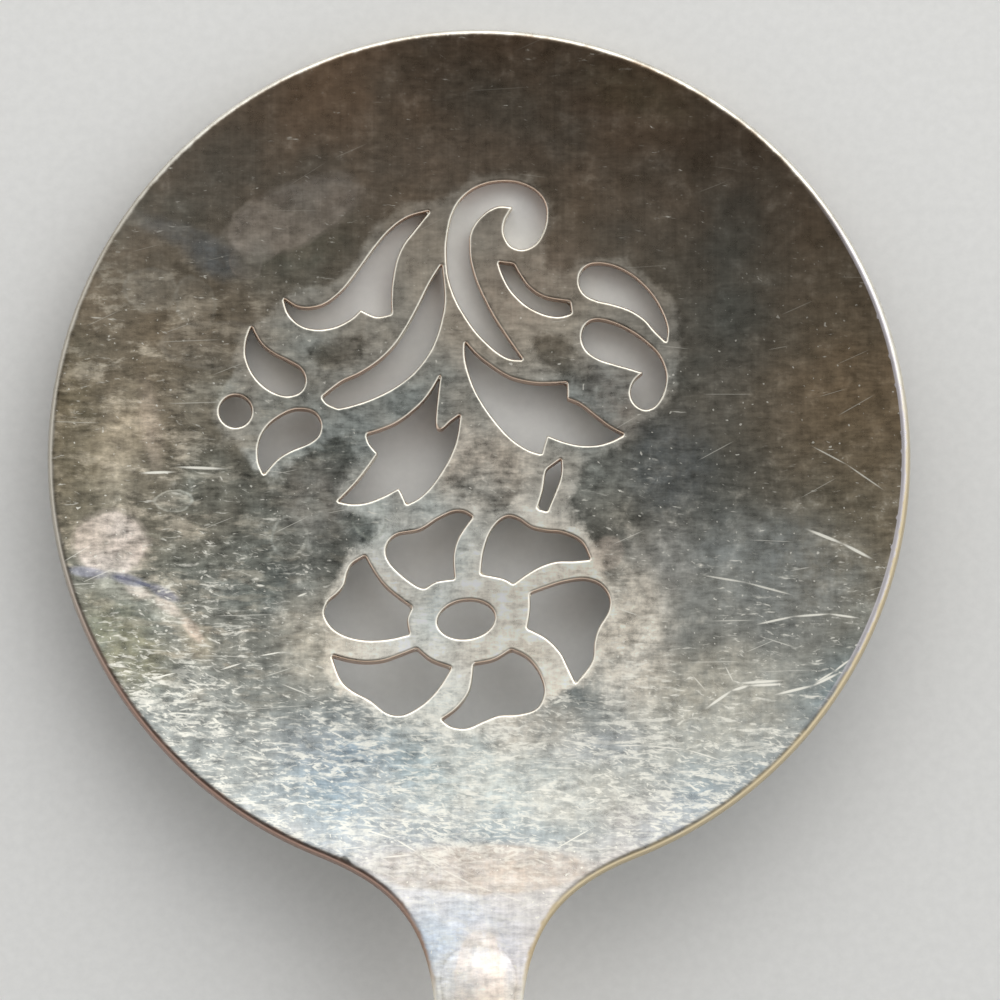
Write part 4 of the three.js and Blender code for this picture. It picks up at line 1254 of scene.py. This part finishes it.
def marked(g, plate, colour, marks, on_blade):
    """The colour with its flecks, scratches and tiny bright dots. On the neck the marks hardly show."""
    fleck_colour = FLECK_COLOUR
    if on_blade:
        fleck_colour = g.mixed(g.fitted(plate.y, -30, -35, 0, 0.6), FLECK_COLOUR, colour)
    colour = g.mixed(marks, colour, fleck_colour)
    dots = g.fitted(g.noise(plate.lively, 3.2, 0), 0.8, 0.84)
    if on_blade:
        dots = g.times(dots, g.fitted(plate.y, 22, 4, 0.15, 1))
    return g.mixed(g.times(dots, 0.7), colour, FLECK_COLOUR)


def blade_edge_metals_and_shade(g, plate, colour, rim_wear):
    """The blade's colour with its right rim's inner line, a painted reflection, and what shows on its rim
    and its piercings' edges: worn metal, with painted shade where they face away from the light."""
    low_down = g.fitted(g.add(plate.y, g.times(plate.x, -0.25)), 3, -14)
    worn_and_shaded_low = g.mixed(g.fitted(plate.x, -8, 8), RIM_BROWN, RIM_BRASS)
    rim_colour = g.mixed(g.fitted(plate.mottle, 0.3, 0.62), RIM_SILVER, RIM_BRIGHT)
    # Painted shade: the rim's left side, facing away from the light, is duller.
    rim_colour = g.mixed(g.fitted(plate.x, -20, -31, 0, 0.8), rim_colour, RIM_DULL)
    # Painted reflection: a lavender line just inside the right rim, where the raised rim reflects the dark.
    inner = g.times(g.fitted(plate.x, 26, 32), g.fitted(rim_wear, 0, 0.12, 0, 0.95))
    colour = g.mixed(inner, colour, RIM_LAVENDER_REFLECTION)
    # Low down the rim is painted brown on the left, as shade over copper wear, and brass on the right.
    rim_colour = g.mixed(g.times(low_down, g.fitted(plate.y, -45, -40)), rim_colour, worn_and_shaded_low)
    # Painted shade: edges that face away from the light turn peach, and their walls darker copper, over real
    # copper wear.
    normal = g.node("NewGeometry").outputs["Normal"]
    facing = g.fitted(g.vector("DOT_PRODUCT", normal, COPPER_AND_SHADE_SIDE), 0.05, 0.4)
    edge_colour = g.mixed(facing, EDGE_SILVER, SHADED_EDGE_PEACH)
    wall = g.times(facing, g.fitted(g.part(normal, 2), 0.7, 0.3))
    return colour, rim_colour, g.mixed(wall, edge_colour, SHADED_BARE_COPPER)


def worn_edges(g, plate, colour, on_blade):
    """The colour with its rims and edges rubbed through. On the blade they also carry painted shade and
    reflection.
    """
    uneven = g.fitted(plate.mottle, 0.2, 0.8, -0.2, 0.2)
    rim_wear, edge_wear = g.field("rim_wear"), g.field("edge_wear")
    rim_colour, edge_colour, rim_start, most_worn = RIM_SILVER, EDGE_SILVER, 0.25, 0.6
    if on_blade:
        colour, rim_colour, edge_colour = blade_edge_metals_and_shade(g, plate, colour, rim_wear)
        rim_start, most_worn = g.fitted(plate.x, 26, 32, 0.25, 0.5), 0.95
    colour = g.mixed(g.fitted(g.add(rim_wear, uneven), rim_start, 0.8), colour, rim_colour)
    return g.mixed(g.fitted(g.add(edge_wear, uneven), 0.15, 0.65, 0, most_worn), colour, edge_colour)


def worn_plate(name, on_blade):
    """Silver plate that is tarnished, scratched and rubbed through along its edges. On the blade its colour
    also holds painted reflection and shade.
    """
    material, g = new_material(name)
    plate = plate_noises(g)
    if on_blade:
        colour, crowded, unevenness = blade_ground(g, plate)
    else:
        colour = with_casts(g, plate, HANDLE_COLOUR, 0.5)
        crowded, unevenness = HANDLE_CROWDED, HANDLE_UNEVENNESS
    colour = shaded(g, plate, colour, unevenness)
    marks = wear_marks(g, plate, crowded, on_blade)
    colour = marked(g, plate, colour, marks, on_blade)
    recess = g.field("recess")
    colour = g.mixed(g.times(recess, 0.12 if on_blade else 0.62), colour, GRIME)
    colour = worn_edges(g, plate, colour, on_blade)
    roughness = g.add(
        BLADE_ROUGHNESS if on_blade else HANDLE_ROUGHNESS,
        g.spread(plate.mottle, 0.25, 0.75, -0.06, 0.06),
        g.times(marks, 0.1),
        g.times(recess, 0.2),
        g.fitted(plate.y, -34, -41, 0, 0.3) if on_blade else 0,
    )
    height = g.add(
        g.times(g.noise(plate.grain, 0.09, 1), 0.06),
        g.times(plate.brushed, 0.0012),
        g.times(plate.mottle, 0.0025),
    )
    g.surface({"Base Color": colour, "Metallic": 1, "Roughness": roughness, "Normal": g.bump(height)})
    return material


def cement():
    """Dull brown cement with grit in it. It lies inside the handle."""
    material, g = new_material("cement")
    grit = g.noise(g.millimetres(), 1.8, 6, 0.7)
    g.surface({
        "Base Color": g.ramp(grit, CEMENT_COLOURS),
        "Normal": g.bump(g.times(grit, 0.1)),
        "Roughness": g.fitted(grit, 0.3, 0.7, 0.8, 0.95),
    })
    return material


# Studio

FLOOR_HALF = 1.2
FLOOR_COLOUR = (0.82, 0.81, 0.79)
DARK_SIDE = Vector((-0.22, -0.35, 1.0))
DARK_FROM = 0.53
DARK_AT = 0.98
ROOM_COLOUR = (1.08, 1.105, 1.12)
OVERHEAD_COLOUR = (0.055, 0.043, 0.032)
KEY_SIZE = (0.70, 0.36)
KEY_DISTANCE = 0.55
KEY_ELEVATION = math.radians(40)
KEY_SIDE = 0.25
KEY_POWER = 0.95
KEY_COLOUR = (1.0, 0.985, 0.955)

# The camera looks almost straight down, a little from the handle's side, as the photograph does.
CAMERA_ELEVATION = math.radians(88)
CAMERA_DISTANCE = 0.42
CAMERA_SENSOR = 36
CAMERA_CLIP = (0.01, 10)
PHOTO_SIZE = 1000
CAMERA_AIM = (499.9, 500.9)
FRAME_WIDTH_SHARE = 0.998


def place_facing(thing, target, back, distance):
    """Puts a lamp or camera at a distance from a target, facing it, with its back to a direction."""
    thing.location = Vector(target) + back * distance
    thing.rotation_mode = "QUATERNION"
    thing.rotation_quaternion = back.to_track_quat("Z", "Y")


def add_floor():
    mesh = bpy.data.meshes.new("floor")
    corners = [(-1, -1), (1, -1), (1, 1), (-1, 1)]
    mesh.from_pydata([(x * FLOOR_HALF, y * FLOOR_HALF, 0) for x, y in corners], [], [[0, 1, 2, 3]])
    floor = add_object("floor", mesh)
    material, g = new_material("pale_floor")
    grain = g.fitted(g.noise(g.millimetres(), 1.2, 4, 0.6), 0.2, 0.8, 0.97, 1.03)
    g.surface({"Base Color": g.mixed(1.0, FLOOR_COLOUR, grain, "MULTIPLY"), "Roughness": 0.85})
    mesh.materials.append(material)


def add_world():
    """Pale all round, and dark overhead, as in a room that is lit from its windows."""
    world = bpy.data.worlds.new("studio")
    bpy.context.scene.world = world
    world.use_nodes = True
    g = Graph(world.node_tree)
    direction = g.node("TexCoord").outputs["Generated"]
    overhead = g.vector("DOT_PRODUCT", direction, DARK_SIDE.normalized())
    colour = g.ramp(g.fitted(overhead, DARK_FROM, DARK_AT), [(0.0, ROOM_COLOUR), (1.0, OVERHEAD_COLOUR)])
    background = g.node("Background", {"Color": colour, "Strength": 1.0})
    g.node("OutputWorld", {"Surface": background.outputs[0]})


def add_key_light():
    """A broad soft light from beyond the blade's tip."""
    light = bpy.data.lights.new("key", "AREA")
    light.shape = "RECTANGLE"
    light.size, light.size_y = KEY_SIZE
    light.energy = KEY_POWER
    light.color = KEY_COLOUR
    lamp = add_object("key", light)
    back = Vector((KEY_SIDE, math.cos(KEY_ELEVATION), math.sin(KEY_ELEVATION))).normalized()
    place_facing(lamp, BLADE_CENTRE, back, KEY_DISTANCE)
    lamp.visible_camera = False


def add_camera():
    data = bpy.data.cameras.new("camera")
    data.sensor_width = CAMERA_SENSOR
    frame_width = PHOTO_SIZE * PHOTO_SCALE * FRAME_WIDTH_SHARE
    data.lens = CAMERA_SENSOR * CAMERA_DISTANCE / frame_width
    data.clip_start, data.clip_end = CAMERA_CLIP
    camera = add_object("camera", data)
    aim = from_photo(CAMERA_AIM)
    back = Vector((0, -math.cos(CAMERA_ELEVATION), math.sin(CAMERA_ELEVATION)))
    place_facing(camera, on_server(aim.x, aim.y, 0), back, CAMERA_DISTANCE)
    bpy.context.scene.camera = camera


# The scene

blade = pierced_blade()
collar = handle_collar()
front_shell = handle_shell("front_shell", 1, "handle_front_shell")
back_shell = handle_shell("back_shell", -1, "handle_back_shell")
blade.data.materials.append(worn_plate("worn_blade_plate", True))
handle_plate = worn_plate("worn_handle_plate", False)
for piece in (collar, front_shell, back_shell):
    piece.data.materials.append(handle_plate)
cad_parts["handle_cement"].material_slots[0].material = cement()

add_floor()
add_world()
add_key_light()
add_camera()
bpy.context.scene.view_settings.view_transform = "Standard"

bpy.context.view_layer.update()
